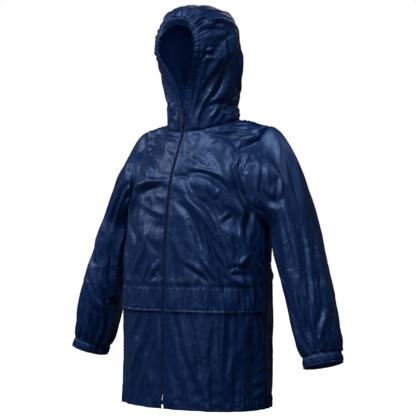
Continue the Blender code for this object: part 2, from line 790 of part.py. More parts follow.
def pocket_flaps():
    """Each flap follows its front from zip to side seam, lifted off it towards the free edge."""
    z, lift = np.array(FLAP_ROWS).T
    share = np.concatenate([FLAP_ENDS[:1], panel_columns()[1:-1], FLAP_ENDS[1:]])
    v = (z - HEM_Z) / (UNDERARM_Z - HEM_Z)
    u, v = np.meshgrid(share, v)
    left = body_point(u, v, front=True)
    panels = []
    for name, body, side in (("pocket_flap_left", "front_left", 1), ("pocket_flap_right", "front_right", -1)):
        heights = fold_heights(body, u * QUARTER_GIRTH, plan_height(v))
        grid = left + normals_of(left, False) * (heights + lift[:, None] * MM)[..., None]
        panels.append(Panel(name, grid if side > 0 else mirror(grid)))
    return panels


def zip_edges(front, casing, side):
    """Rows up one side of the zip: points on its edge and at the tape's outer edge, with their normals."""
    first, second = (0, 1) if side > 0 else (-1, -2)
    rows = []
    share = TAPE_SHARE / (NECK_SHARE / NECK_COLUMNS)
    for values in (front.grid, front.own):
        near, far = values[:, first], values[:, first] * (1 - share) + values[:, second] * share
        pair = np.stack([near, far], axis=1)
        start = ZIP_FOOT / ((UNDERARM_Z - HEM_Z) / LOWER_ROWS)
        pair[0] = pair[0] * (1 - start) + pair[1] * start
        rows.append(pair)
    count = int(np.sum(casing.grid[: len(casing.grid) // 4, 0, 2] < ZIP_TOP_Z))
    for i, values in enumerate((casing.grid, casing.own)):
        run = values[2:count:2, :2] if side > 0 else values[-3 : -count - 1 : -2, :2]
        rows[i] = np.concatenate([rows[i], run])
    return rows


def zip_parts(fronts_pair, casing):
    """The two tapes and the closed coil, and the line up the middle of the zip."""
    panels = []
    edges = []
    for name, front, side in (("zip_tape_left", fronts_pair[0], 1), ("zip_tape_right", fronts_pair[1], -1)):
        grid, facing = zip_edges(front, casing, side)
        grid = grid - unit(facing) * TAPE_SET_IN
        grid[:, 0, 0] = side * (COIL_HALF_WIDTH + SEAM_GAP)
        edges.append(grid[:, 0] + unit(facing)[:, 0] * TAPE_SET_IN)
        if side < 0:
            grid = grid[:, ::-1]
        panels.append(Panel(name, grid, thickness=TAPE_THICKNESS))
    line = (edges[0] + edges[1]) / 2
    run = line[1:][line[1:, 2] < SLIDER_Z[0] + 0.002]
    run[0] = line[0] + (line[1] - line[0]) * (BOX_HEIGHT + SEAM_GAP) / (line[1, 2] - line[0, 2])
    grid = np.stack([points(x, run[:, 1], run[:, 2]) for x in (-COIL_HALF_WIDTH, COIL_HALF_WIDTH)], axis=1)
    grid = grid - normals_of(grid, False) * COIL_SET_IN
    panels.append(Panel("zip_coil", grid, thickness=COIL_DEPTH))
    return panels, line


def block(bm, low, high):
    """A box between two corners, added to a bmesh."""
    low, high = np.array(low), np.array(high)
    made = bmesh.ops.create_cube(bm, size=1.0)["verts"]
    for vert in made:
        vert.co = mathutils.Vector((low + high) / 2 + np.array(vert.co) * (high - low))


def solid(name, boxes, material, bevel=0.0):
    """Boxes joined into one body by a Boolean, with their edges rounded off by bevel."""
    whole = None
    for low, high in boxes:
        bm = bmesh.new()
        block(bm, low, high)
        mesh = bpy.data.meshes.new(name)
        bm.to_mesh(mesh)
        bm.free()
        obj = bpy.data.objects.new(name if whole is None else name + "_piece", mesh)
        bpy.context.scene.collection.objects.link(obj)
        if whole is None:
            whole = obj
            continue
        obj.hide_render = True
        obj.display_type = "WIRE"
        join = whole.modifiers.new("join", "BOOLEAN")
        join.operation = "UNION"
        join.object = obj
    whole.data.materials.append(material)
    if bevel:
        soften = whole.modifiers.new("soften", "BEVEL")
        soften.width = bevel
        soften.segments = 2
    return whole


def zip_hardware(line, metal, coil_plastic):
    """Slider at the top of the coil with its bail, the pull tab that hangs from it, and the foot box."""
    low, high = SLIDER_Z
    face = float(np.interp((low + high) / 2, line[:, 2], line[:, 1]))
    front_out, front_in = (face + y for y in FRONT_PLATE)
    rear_in, rear_out = (face + y for y in REAR_PLATE)
    bail = face + BAIL_FRONT
    bail_low, bail_high = low + BAIL_FOOT_RISE, high - BAIL_TOP_DROP
    grip = front_in - PLATE_GRIP
    x, wedge, wire = SLIDER_HALF_WIDTH, WEDGE_HALF_WIDTH, BAIL_HALF_WIDTH
    slider = (
        ((-x, front_out, low), (x, front_in, high)),
        ((-x, rear_in, low), (x, rear_out, high)),
        ((-wedge, grip, high - WEDGE_DROP[0]), (wedge, rear_in + 0.6 * MM, high - WEDGE_DROP[1])),
        ((-wire, bail, bail_high - BAIL_WIRE), (wire, grip, bail_high)),
        ((-wire, bail, bail_low), (wire, grip, bail_low + BAIL_WIRE)),
        ((-wire, bail, bail_low), (wire, bail + BAIL_HALF_WIDTH, bail_high)),
    )
    solid("zip_slider", slider, metal)
    y = (bail + BAIL_HALF_WIDTH + front_out) / 2
    half, x = PULL_THICKNESS / 2, PULL_HALF_WIDTH
    top, ring = PULL_HINGE_Z + half, PULL_HINGE_Z - PULL_RING_HEIGHT
    pull = (
        ((-x, y - half, PULL_HINGE_Z - half), (x, y + half, top)),
        ((-x, y - half, ring), (PULL_THICKNESS - x, y + half, top)),
        ((x - PULL_THICKNESS, y - half, ring), (x, y + half, top)),
        ((-x, y - half, PULL_HINGE_Z - PULL_LENGTH), (x, y + half, ring + 1.0 * MM)),
    )
    solid("zip_pull", pull, metal)
    front, rear = (line[0, 1] + y for y in BOX_DEPTH)
    base = HEM_Z + ZIP_FOOT
    box = (((-COIL_HALF_WIDTH, front, base), (COIL_HALF_WIDTH, rear, base + BOX_HEIGHT)),)
    solid("zip_box", box, coil_plastic, bevel=0.4 * MM)


def main():
    for obj in list(bpy.data.objects):
        bpy.data.objects.remove(obj, do_unlink=True)
    navy = make_material("coated_nylon_navy", (0.012, 0.022, 0.09), 0.35)
    tape = make_material("zip_tape_navy", (0.008, 0.012, 0.04), 0.8)
    plastic = make_material("zip_coil_plastic", (0.010, 0.014, 0.035), 0.4)
    metal = make_material("zip_metal_dark", (0.02, 0.025, 0.045), 0.35, 0.8)
    halves = hood_halves()
    casing = hood_casing()
    ends = cuffs()
    pair = fronts()
    shell = [*pair, back_panel(), *sleeves(), *halves, casing, *ends]
    sew(shell)
    along_seam(casing, np.s_[:, -1], CASING_STEPS)
    for cuff in ends:
        along_seam(cuff, np.s_[-1, :], CUFF_STEPS)
    zips, line = zip_parts(pair, casing)
    for panel in shell + pocket_flaps():
        build_wall(panel, navy)
    for panel, material in zip(zips, (tape, tape, plastic)):
        build_wall(panel, material)
    zip_hardware(line, metal, plastic)


main()
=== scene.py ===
"""A child's hooded rain jacket in crisp coated navy nylon, with elastic at the hood and wrists.

Every cut piece is a thin shell on a smooth form, and its creases are rows of a table in mm on the
piece's own flat plan. Metres, +Z up, the front faces -Y and the wearer's left is +X.
"""

import math
from collections import namedtuple

import bpy
import mathutils
import numpy as np
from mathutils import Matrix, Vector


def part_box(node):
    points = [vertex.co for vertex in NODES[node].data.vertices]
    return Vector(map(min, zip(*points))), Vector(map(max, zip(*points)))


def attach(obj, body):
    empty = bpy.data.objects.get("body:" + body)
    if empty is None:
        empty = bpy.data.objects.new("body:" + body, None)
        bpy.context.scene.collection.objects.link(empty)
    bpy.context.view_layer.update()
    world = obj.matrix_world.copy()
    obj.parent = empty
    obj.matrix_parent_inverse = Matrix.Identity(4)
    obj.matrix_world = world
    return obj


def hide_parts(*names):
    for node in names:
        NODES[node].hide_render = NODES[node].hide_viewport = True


bl_info = {
    "name": "Hooded Rain Jacket",
    "version": (1, 0, 0),
    "blender": (4, 5, 0),
    "location": "3D View > Sidebar > Rain Jacket",
    "description": "Builds a child's hooded rain jacket piece by piece",
    "category": "Add Mesh",
}

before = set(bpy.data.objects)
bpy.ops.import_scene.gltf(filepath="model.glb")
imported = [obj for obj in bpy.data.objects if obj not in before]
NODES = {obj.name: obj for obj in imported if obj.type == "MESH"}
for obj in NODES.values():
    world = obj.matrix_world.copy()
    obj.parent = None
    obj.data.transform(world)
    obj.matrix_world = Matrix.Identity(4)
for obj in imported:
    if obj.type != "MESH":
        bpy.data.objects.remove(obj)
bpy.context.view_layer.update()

MM = 0.001
COAT, PULL = "coat", "pull"
# Each side: its sign along X, then its edge at the middle of the coat and its outer one
SIDES = (("left", 1, "first", "last"), ("right", -1, "last", "first"))
# What starts the random draws of each piece, left and right
FRONT_SEEDS, BACK_SEED = (11, 23), 37
SLEEVE_SEEDS, CUFF_SEEDS = (53, 67), (71, 83)
HOOD_SEEDS, CASING_SEED, TUCK_SEED = (97, 109), 131, 113
FLAP_SEEDS = (139, 151)

# ---- the plain form of each piece

HEM_Z = -0.592
UNDERARM_Z = -0.172
FLAP_TOP_Z = -0.325
FLAP_BOTTOM_Z = -0.381
NECK_HALF_WIDTH = 0.083
NECK_FRONT_DEPTH = 0.0775
NECK_BACK_DEPTH = 0.085
NECK_Y = 0.0235
NECK_FRONT_Z = 0.016
NECK_SIDE_Z = 0.040
NECK_BACK_Z = 0.054
NECK_FRONT_ANGLES = (2.0, 9.0, 18.0, 29.0, 42.0, 57.0, 75.0, 95.0)
SHOULDER_ANGLE = 95.0
SHOULDER_BOW = 0.003
HOOD_LEAN = -0.002
HOOD_FULLNESS = 0.84
ARM_MIDDLE = (0.120, 0.020, -0.090)
SLOPE_STEP = 0.004

# Steps of the coarse grids, and where the neck seam ends along a panel's top edge
LOWER_ROWS, YOKE_ROWS = 16, 10
NECK_COLUMNS, SHOULDER_COLUMNS = 7, 6
CAP_ROWS, ARM_ROWS = 8, 14
HOOD_SIDE_ROWS, HOOD_TOP_ROWS = 9, 9
CUFF_COLUMNS, CUFF_ROWS = 280, 25
CASING_COLUMNS, CASING_CELLS = 13, 22
FLAP_ROWS = 34
NECK_SHARE = 0.54

# Sizes of the flat plans, in mm
QUARTER_GIRTH = 287.0
LOWER_HEIGHT, YOKE_HEIGHT = 420.0, 200.0
SLEEVE_ROUND = 350.0
CAP_HEIGHT, ARM_HEIGHT = 120.0, 290.0
HOOD_BACK, HOOD_UP = 300.0, 190.0
CUFF_ROUND, CUFF_DEPTH = 270.0, 22.0
CASING_DEPTH, CASING_LENGTH = 14.0, 640.0

# Sewing, in mm: the hem's stitched line, how much slimmer the sleeves are than their form, and the
# reach of a seam's soft end. Then how many gathers and tucks there are round an elastic edge
HEM_HEIGHT = 20.0
SLEEVE_SLACK = 2.2
TIP_REACH = 60.0
SEAM_REACH, RIDGE_GAP = 2.6, 2.5
CRACKLE_SHARE, SMALL_SHARE = 0.6, 0.7
CUFF_GATHERS = 15
CUFF_TUCKS = 64
HOOD_TUCKS = 52.0
FLAP_ENDS = (0.012, 0.988)

# How spare cloth settles: on every so many points, that share of its length, for so many rounds
SETTLING = ((2, 1.0, 90), (1, 0.8, 70))

# Sewing, in metres: how deep each cut edge is turned in, how far it runs on behind the next piece
# and how far under it, and how high a stitched line stands
TURN_IN = 0.004
ZIP_TURN = 0.0022
CROWN_TURN = 0.005
HEM_FOLD = 0.0015
FLAP_FOLD = 0.0014
CASING_TURN = 0.003
CASING_FOLD = 0.006
CASING_SEAM = 0.002
LAP = 0.006
LAP_STEP = 0.0012
STITCH_LIFT = 0.0002
# A stitch's length by its pitch, and its width and height by the thread's thickness
STITCH_LENGTH, STITCH_WIDTH, STITCH_HEIGHT = 0.82, 1.5, 1.2

# The zip, in metres
ZIP_EDGE = 0.003
COIL_SET_IN = 0.0012
COIL_END = 0.0005
COIL_POINTS = 800
TOOTH_LENGTH = 0.62
TOOTH_OFFSET = 0.00105
TOOTH_WIDTH = 0.0029
TOOTH_THICKNESS = 0.0019
TOOTH_EDGE = 0.0013
TAPE_BEHIND = 0.0010
TAPE_THICKNESS = 0.0005
TAPE_COLUMNS = 5
CASING_FIRST, CASING_LAST = 2, 60
PULL_RIM = 0.0014
PULL_SLOT = 0.0080
PULL_CORNER = 0.0009
PULL_EYE, EYE_LOW, EYE_HIGH = 0.0016, 0.0030, 0.0075
PULL_BEVEL = 0.00035

# The stage, in metres and degrees
FLOOR_HALF, FLOOR_Z = 14.0, -1.15
VIEW_TURN = 35.0
CAMERA_AWAY, CAMERA_Z = 3.0, -0.19
LENS_LENGTH, FILM_WIDTH = 115, 36
SHIFT_X, SHIFT_Y = 11 / 416, 16 / 416
LIGHTS_MIDDLE = (0.0, 0.0, -0.15)
# Each light by its place from there as the camera looks: to the right, away from it and up
Lamp = namedtuple("Lamp", "name right away up size power tint")
LAMPS = (
    Lamp("key softbox", -1.0, -1.8, 2.3, 1.6, 82, (1.0, 0.99, 0.97)),
    Lamp("overhead softbox", 0.1, -0.8, 2.4, 1.4, 9, (1.0, 1.0, 1.0)),
    Lamp("front softbox", 0.2, -2.8, 0.3, 1.2, 4, (1.0, 1.0, 1.0)),
    Lamp("low softbox", -1.5, -2.4, 0.0, 0.9, 6, (1.0, 1.0, 1.0)),
    Lamp("left softbox", -2.4, 0.2, 1.6, 1.5, 33, (1.0, 1.0, 1.0)),
    Lamp("right softbox", 1.8, -0.9, 2.2, 0.8, 13, (0.95, 0.97, 1.0)),
    Lamp("back softbox", 0.6, 2.3, 1.5, 1.4, 6, (1.0, 1.0, 1.0)),
)

Section = namedtuple("Section", "z half_width front back side")
SECTIONS = (
    Section(HEM_Z, 0.184, -0.132, 0.123, -0.004),
    Section(-0.470, 0.183, -0.129, 0.123, -0.004),
    Section(-0.330, 0.183, -0.127, 0.123, -0.003),
    Section(-0.230, 0.181, -0.123, 0.122, 0.001),
    Section(UNDERARM_Z, 0.178, -0.116, 0.121, 0.006),
)
Centre = namedtuple("Centre", "rise front back")
CENTRES = (
    Centre(0.00, -0.116, 0.121),
    Centre(0.22, -0.109, 0.124),
    Centre(0.44, -0.100, 0.126),
    Centre(0.62, -0.087, 0.125),
    Centre(0.77, -0.073, 0.121),
    Centre(1.00, NECK_Y - NECK_FRONT_DEPTH, NECK_Y + NECK_BACK_DEPTH),
)
# The left armhole, down the front from the shoulder tip and up the back
Hole = namedtuple("Hole", "x y z")
ARMHOLE = (
    Hole(0.166, 0.040, 0.0255),
    Hole(0.154, 0.007, -0.014),
    Hole(0.157, -0.028, -0.045),
    Hole(0.155, -0.054, -0.086),
    Hole(0.160, -0.054, -0.122),
    Hole(0.169, -0.034, -0.152),
    Hole(0.178, 0.006, UNDERARM_Z),
    Hole(0.176, 0.050, -0.160),
    Hole(0.169, 0.084, -0.125),
    Hole(0.164, 0.097, -0.085),
    Hole(0.162, 0.092, -0.045),
    Hole(0.164, 0.070, -0.004),
)
# How far its seam stands out, in mm, and the reach of that beside it
Sink = namedtuple("Sink", "s height reach")
SINKS = (
    Sink(0.00, 0.8, 26),
    Sink(0.05, 0.0, 18),
    Sink(0.11, -2.0, 12),
    Sink(0.22, -5.0, 13),
    Sink(0.33, -6.5, 18),
    Sink(0.43, -5.5, 18),
    Sink(0.52, -3.5, 14),
    Sink(0.64, -3.0, 13),
    Sink(0.80, -2.5, 12),
    Sink(0.93, 0.0, 18),
    Sink(1.00, 0.8, 26),
)
# The left sleeve from just under the armhole to the wrist
Ring = namedtuple("Ring", "x y z half_width half_depth")
SLEEVE = (
    Ring(0.2350, 0.034, -0.200, 0.048, 0.061),
    Ring(0.2500, 0.027, -0.2545, 0.051, 0.061),
    Ring(0.2680, 0.022, -0.310, 0.051, 0.060),
    Ring(0.2840, 0.018, -0.3567, 0.051, 0.060),
    Ring(0.3015, 0.0175, -0.420, 0.050, 0.059),
    Ring(0.3098, 0.0165, -0.450, 0.046, 0.054),
    Ring(0.3155, 0.0145, -0.4695, 0.040, 0.048),
)
CUFF_END = (0.321, 0.0105, -0.4915)
# The left half of the hood, by degrees round the neck from the centre front
Bow = namedtuple("Bow", "foot side_x side_y side_z top_y top_z")
HOOD = (
    Bow(2.0, 0.053, -0.083, 0.197, -0.080, 0.250),
    Bow(9.0, 0.062, -0.074, 0.199, -0.086, 0.267),
    Bow(18.0, 0.070, -0.064, 0.200, -0.074, 0.283),
    Bow(42.0, 0.080, -0.040, 0.200, -0.036, 0.299),
    Bow(75.0, 0.091, -0.002, 0.196, 0.026, 0.304),
    Bow(95.0, 0.092, 0.024, 0.192, 0.070, 0.297),
    Bow(119.0, 0.083, 0.057, 0.172, 0.105, 0.264),
    Bow(144.0, 0.059, 0.088, 0.126, 0.1100, 0.188),
    Bow(156.0, 0.041, 0.099, 0.092, 0.1095, 0.128),
    Bow(168.0, 0.0085, 0.1075, 0.0540, 0.1085, 0.0542),
)
# Places where the empty coat has sunk: where, how far round it in mm and which way it goes, in mm
Dent = namedtuple("Dent", "x y z reach dx dy dz")
SHOULDER_DENTS = (
    Dent(0.222, 0.050, 0.002, 42, -2.5, 0, -4.0),
    Dent(0.210, -0.010, -0.030, 36, -1.5, 1.0, -1.5),
    Dent(0.190, 0.042, 0.028, 20, 0, 0, -3.0),
    Dent(0.160, -0.058, -0.110, 38, -3.0, 6.5, 0),
)
HOOD_DENTS = (
    Dent(-0.052, -0.072, 0.262, 42, 4.5, 3.0, -5.5),
    Dent(-0.050, -0.078, 0.150, 46, 4.0, 2.5, 0),
    Dent(0.030, 0.020, 0.310, 40, 0, 0, -2.0),
)

# ---- folds and creases, in mm

# The largest folds. Fronts and back: x from the centre line, y up from the hem. Sleeves: x round
# from the top line towards the front, y down from the armhole. Hood: x back from the face opening,
# y up from the neck seam. bow pushes the middle sideways, and a height below 0 is a hollow.
Fold = namedtuple("Fold", "x0 y0 x1 y1 bow width height")
FOLDS = {
    "front_left": (
        (40, 560, 225, 430, 30, 21, 5), (60, 520, 235, 395, 34, 20, -5),
        (20, 470, 130, 395, 10, 23, 4), (110, 600, 250, 575, 8, 21, -4),
        (150, 400, 215, 315, -10, 22, 4), (160, 190, 165, 20, 4, 25, 3),
        (60, 190, 85, 40, 6, 23, 3), (235, 180, 228, 20, -5, 23, -3),
    ),
    "front_right": (
        (45, 560, 200, 520, -12, 21, -4), (60, 520, 190, 450, 14, 23, 5),
        (60, 400, 40, 300, 8, 23, 3), (190, 430, 215, 330, 5, 23, -4),
        (75, 190, 100, 50, -6, 25, 3), (190, 190, 180, 30, 6, 25, -3),
    ),
    "back": (
        (-190, 520, -60, 420, 18, 27, 5), (200, 530, 70, 430, -20, 27, 5),
        (-60, 560, 80, 550, 12, 25, -4), (-160, 330, -120, 40, 10, 29, 4),
        (30, 300, 10, 30, -8, 29, -4), (170, 320, 150, 40, -10, 29, 4),
        (-20, 440, -60, 330, 10, 27, 3),
    ),
    "sleeve_left": (
        (60, 60, 85, 330, 12, 20, 4), (110, 90, 120, 300, -10, 20, -4),
        (300, 40, 330, 300, 12, 21, 4), (210, 90, 235, 300, -10, 23, -4),
    ),
    "sleeve_right": (
        (45, 70, 90, 340, -12, 20, 4), (120, 170, 40, 215, 10, 20, -5),
        (95, 240, 150, 300, 8, 20, 4), (300, 50, 320, 310, -12, 21, 4),
        (220, 80, 230, 320, 10, 23, -4),
    ),
    "hood_left": (
        (105, 195, 30, 60, 6, 20, 6), (135, 185, 70, 60, 4, 20, -6),
        (150, 30, 260, 45, -8, 20, -5), (60, 330, 160, 270, 12, 21, 4),
        (190, 230, 215, 90, 10, 23, 3),
    ),
    "hood_right": (
        (95, 190, 35, 70, 8, 20, 5), (130, 170, 80, 50, -6, 20, -5),
        (160, 35, 265, 50, -8, 20, -5), (70, 320, 170, 290, 10, 21, 4),
        (200, 220, 190, 100, 12, 23, -3),
    ),
}

# Creases on the same plans: width, height and lean in mm, then the 2 to 7 places of its path.
# lean makes the flank on one side steeper, and a height below 0 is a trough.
CREASES = {
    "front_left": (
        (2.8, -1.8, 0, 283, 604, 217, 591, 139, 590),
        (2.8, -1.7, 0, 271, 612, 207, 603, 140, 602, 101, 606),
        (2.6, -1.4, 0, 247, 618, 199, 613, 148, 613), (2.4, 1.1, 0, 277, 608, 211, 597, 144, 596),
        (2.4, 1, 0, 252, 614, 202, 608, 144, 607),
        (6, -3.2, -0.3, 283, 592, 259, 578, 223, 561, 187, 549),
        (5, 1.8, 0, 276, 596, 236, 583, 180, 569), (4, -1.8, 0, 187, 549, 200, 538, 213, 526),
        (4, 1.2, 0, 170, 547, 183, 531, 223, 518),
        (7, -5.5, 0.5, 46, 514, 76, 508, 105, 498, 131, 487, 159, 473, 181, 456, 193, 435),
        (5, 2.2, 0, 75, 516, 109, 505, 140, 494, 168, 485, 185, 475),
        (8, -2.4, 0.3, 27, 561, 58, 540, 87, 520, 109, 508),
        (15, 2.6, 0, 57, 490, 88, 478, 119, 470), (4, 2, 0, 113, 453, 128, 461, 144, 471),
        (8, -4.2, 0.2, 47, 464, 74, 451, 98, 440, 113, 423, 126, 398, 137, 376),
        (9, 4.2, 0, 32, 517, 37, 484, 51, 457, 78, 433, 104, 411, 120, 385, 133, 363),
        (4, 2.2, 0, 96, 404, 109, 395, 122, 376, 135, 359),
        (9, -3.4, 0, 33, 447, 53, 423, 70, 396, 84, 368, 96, 342),
        (5, -3, 0, 97, 391, 106, 368, 118, 342, 133, 321, 152, 305),
        (4, 2.6, 0, 133, 413, 146, 421, 161, 427), (4, -2.4, 0, 139, 404, 154, 413, 168, 421),
        (5, 1.8, 0, 124, 447, 135, 434, 138, 419), (4, 1.8, 0, 205, 442, 190, 411, 189, 368),
        (10, -4, 0, 227, 439, 213, 400, 211, 355), (7, -2.6, 0, 169, 376, 175, 346, 181, 316),
        (5, 2, 0, 155, 372, 169, 355, 178, 331),
        (7, 3.6, 0, 87, 333, 104, 314, 122, 295, 142, 275),
        (6, 2.5, 0, 48, 320, 71, 314, 90, 299, 107, 280),
        (5, -3.2, 0, 53, 311, 73, 298, 93, 288, 109, 275),
        (5, -2.4, 0, 111, 321, 129, 301, 149, 282), (6, 3.6, 0, 187, 309, 201, 324, 219, 337),
        (6, -3.6, 0, 162, 307, 184, 309, 218, 307), (7, -3.6, 0, 168, 293, 196, 295, 232, 288),
        (5, 3.2, 0, 157, 299, 176, 284, 199, 273, 225, 272),
        (4, 2, 0, 165, 297, 178, 304, 205, 301), (4, -2, 0, 13, 511, 31, 508, 48, 500),
        (5, 1.8, 0, 40, 198, 50, 160, 62, 120, 80, 83, 95, 50),
        (8, -1.8, 0, 33, 190, 40, 140, 55, 98, 73, 54),
        (5, -1.6, 0, 62, 204, 72, 163, 82, 120, 87, 62),
        (6, -1.9, 0, 124, 204, 120, 162, 118, 119, 124, 50),
        (17, 1.8, 0, 93, 200, 99, 131, 104, 37),
        (5, 1.6, 0, 142, 264, 145, 213, 145, 162, 140, 111, 138, 51),
        (19, 2.9, -0.2, 142, 290, 145, 213, 145, 162, 140, 111, 138, 21),
        (6, -2.2, 0, 130, 200, 130, 143, 133, 89, 141, 33),
        (9, -2, 0, 164, 201, 161, 142, 153, 85), (6, 1.6, 0, 168, 114, 166, 78, 172, 37),
        (4, 2.4, 0, 237, 31, 266, 39, 286, 46), (4, -2.2, 0, 233, 44, 262, 51, 286, 56),
        (4, 1.8, 0, 237, 61, 266, 64, 286, 71), (4, -1.8, 0, 241, 76, 272, 81, 286, 88),
        (5, 1.6, 0, 197, 114, 223, 122, 254, 125), (5, 1.8, 0, 95, 264, 100, 243, 105, 220),
        (4, -1.6, 0, 88, 264, 93, 243, 95, 219), (4, -1.6, 0, 112, 262, 117, 239, 122, 219),
        (5, -2, 0, 190, 256, 194, 234, 200, 215), (5, 1.8, 0, 212, 256, 219, 234, 222, 215),
        (5, -1.6, 0, 236, 256, 244, 233, 249, 214),
    ),
    "front_right": (
        (5, -3.4, 0, 234, 605, 165, 595, 55, 603, 19, 598),
        (6, -4, -0.3, 236, 578, 121, 564, 60, 563),
        (7, -3.5, -0.3, 236, 555, 109, 539, 67, 529, 48, 518),
        (9, 5, 0, 166, 428, 133, 451, 118, 473, 80, 485, 42, 494, 16, 502),
        (8, -3.8, 0, 86, 452, 83, 470, 57, 478, 26, 487), (5, 3, 0, 144, 425, 136, 443, 124, 461),
        (6, -2.2, 0, 209, 567, 248, 558, 284, 549), (11, -2.2, 0, 67, 461, 60, 422, 64, 375),
        (8, 1.7, 0, 94, 448, 89, 400, 93, 344), (7, 1.9, 0, 53, 375, 68, 344, 87, 315, 105, 286),
        (6, -1.8, 0, 39, 371, 50, 340, 66, 309), (5, 2.1, 0, 6, 327, 22, 306, 44, 279),
        (5, -1.8, 0, 2, 315, 16, 295, 31, 277), (5, 1.7, 0, 32, 323, 51, 298, 69, 276),
        (7, 2.1, 0, 42, 209, 52, 169, 71, 127, 95, 94, 122, 61),
        (6, 1.6, 0, 75, 209, 97, 177, 119, 151), (6, 1.6, 0, 42, 99, 58, 67, 76, 30),
        (8, -1.7, 0, 33, 204, 39, 151, 59, 106), (6, -1.7, 0, 60, 210, 80, 167, 112, 129),
        (6, -1.4, 0, 20, 170, 20, 115, 28, 49), (6, 1.4, 0, 12, 205, 11, 148, 13, 78),
    ),
    "back": (
        (10, -3.5, 0.4, -230, 545, -150, 500, -70, 440),
        (10, 3.5, 0.3, -210, 505, -140, 460, -80, 400),
        (10, -3.5, -0.4, 236, 540, 160, 505, 60, 452),
        (10, 3.2, -0.3, 216, 500, 150, 455, 84, 410), (9, -2.6, 0.3, -120, 590, 0, 574, 130, 592),
        (11, 2.2, 0.3, -140, 380, -110, 250, -122, 60), (11, -2, 0.3, -60, 340, -40, 200, -56, 40),
        (12, 2.2, -0.3, 60, 360, 84, 220, 70, 50), (10, -2, 0.3, 150, 330, 140, 180, 156, 30),
        (9, 1.8, 0.3, 210, 300, 226, 160, 214, 30), (9, -1.8, 0.3, -210, 320, -226, 170, -214, 30),
        (4, -1.8, 0, -270, 604, -200, 598, -140, 600), (4, -1.8, 0, 140, 600, 200, 597, 268, 604),
        (5, -3, -0.3, -276, 570, -220, 556, -170, 552), (5, -3, 0.3, 276, 572, 224, 557, 176, 553),
        (6, -3, 0, -236, 330, -200, 310, -160, 306), (6, -3, 0, 160, 308, 204, 312, 238, 334),
        (6, 2.6, 0, -240, 300, -200, 284, -150, 280), (6, 2.6, 0, 152, 282, 200, 286, 240, 302),
        (7, -2.4, 0, -40, 430, -70, 380, -66, 320), (7, 2.4, 0, 30, 470, 50, 410, 40, 350),
    ),
    "sleeve_left": (
        (4, 2.4, 0, 33, 14, 54, 25, 70, 37, 88, 47, 115, 48),
        (8, -3.4, 0, 57, 8, 78, 21, 98, 32, 116, 38), (6, -2.2, 0, 35, 20, 55, 30, 72, 46, 85, 55),
        (14, 4, 0, 39, 31, 55, 44, 70, 58), (4, 2.6, 0, 40, 60, 51, 71, 63, 81),
        (4, 2.2, 0, 54, 64, 65, 70, 75, 75), (4, -2.4, 0, 45, 60, 58, 70, 68, 77),
        (7, -4.4, 0, 83, 53, 84, 71, 74, 82, 56, 85), (10, -3, 0, 102, 66, 124, 94, 127, 149),
        (7, 2.5, 0, 62, 89, 59, 114, 56, 156, 62, 213, 75, 272),
        (6, -2.2, 0, 72, 89, 77, 124, 75, 179, 85, 234),
        (6, -2.2, 0, 38, 129, 37, 185, 47, 252, 56, 308),
        (5, 1.9, 0, 29, 134, 32, 195, 40, 254, 46, 305),
        (6, -2, 0, 12, 157, 15, 219, 22, 277, 25, 307), (5, 1.7, 0, 4, 214, 5, 274, 6, 311),
        (5, 3, 0, 14, 308, 28, 334, 44, 363, 58, 390), (5, -2.6, 0, 27, 305, 42, 334, 58, 365),
        (5, 2, 0, 61, 311, 60, 342, 61, 375), (5, -2.2, 0, 63, 287, 67, 324, 80, 365),
        (6, 2, 0, 87, 278, 90, 317, 94, 362), (6, -2, 0, 73, 247, 74, 288, 76, 333),
        (5, -2, 0, -2, 311, 11, 346, 25, 386), (9, -2, 0, 16, 40, 19, 62, 25, 88),
        (8, 1.8, 0, 13, 26, 24, 55, 35, 82), (9, -2.4, 0.3, 140, 60, 150, 140, 136, 240),
        (10, 2.2, 0.3, 230, 60, 250, 180, 238, 330), (10, -2.2, 0.3, 280, 50, 290, 180, 276, 340),
        (9, 2, 0.3, 320, 90, 316, 210, 326, 350), (8, -2, 0.2, 200, 40, 196, 160, 206, 320),
    ),
    "sleeve_right": (
        (5, 2, 0, 74, 10, 111, 30, 105, 118), (6, -2, 0, 82, 23, 95, 69, 93, 137),
        (6, 2.2, 0, 131, 136, 135, 187, 150, 248), (6, -2, 0, 110, 152, 119, 201, 131, 247),
        (5, 2, 0, 92, 162, 103, 216, 115, 267), (5, -3, 0, 117, 252, 129, 271, 139, 288, 136, 309),
        (4, 2.8, 0, 133, 287, 144, 280, 154, 267), (5, -2.8, 0, 142, 290, 151, 285, 163, 279),
        (7, -3, 0, 138, 296, 150, 330, 155, 370), (5, 2.2, 0, 131, 297, 143, 331, 151, 373),
        (5, -2.4, 0, 121, 307, 136, 345, 136, 387), (6, -2, 0, 107, 317, 119, 359, 146, 405),
        (5, 2.2, 0, 157, 298, 166, 335, 166, 375), (9, -2.6, 0.4, 70, 24, 60, 80, 72, 140),
        (8, 2, 0.3, 40, 150, 50, 250, 60, 370), (9, 2.2, 0.3, 230, 70, 240, 190, 232, 330),
        (9, -2.2, 0.3, 280, 60, 276, 180, 290, 340), (9, 2, 0.3, 326, 80, 318, 200, 330, 350),
        (8, -2, 0.2, 196, 50, 204, 170, 198, 330),
    ),
    "hood_left": (
        (6, 5, 0, 101, 137, 82, 110, 68, 87, 54, 65, 44, 40, 36, 20),
        (5, -4.6, 0, 111, 130, 96, 102, 83, 83, 70, 65),
        (9, -5, 0, 83, 157, 73, 126, 60, 102, 50, 77, 42, 48),
        (13, 3.2, 0, 120, 105, 108, 82, 92, 66),
        (7, -5.2, 0, 65, 50, 87, 54, 112, 53, 138, 57, 176, 73),
        (9, -5, 0, 96, 43, 126, 40, 177, 48), (4, 2.6, 0, 96, 48, 85, 34, 71, 23),
        (4, -2.4, 0, 102, 37, 93, 24, 82, 13), (7, 3.2, 0, 105, 193, 101, 169, 100, 144),
        (8, -4.2, 0, 120, 226, 120, 193, 117, 161, 114, 130),
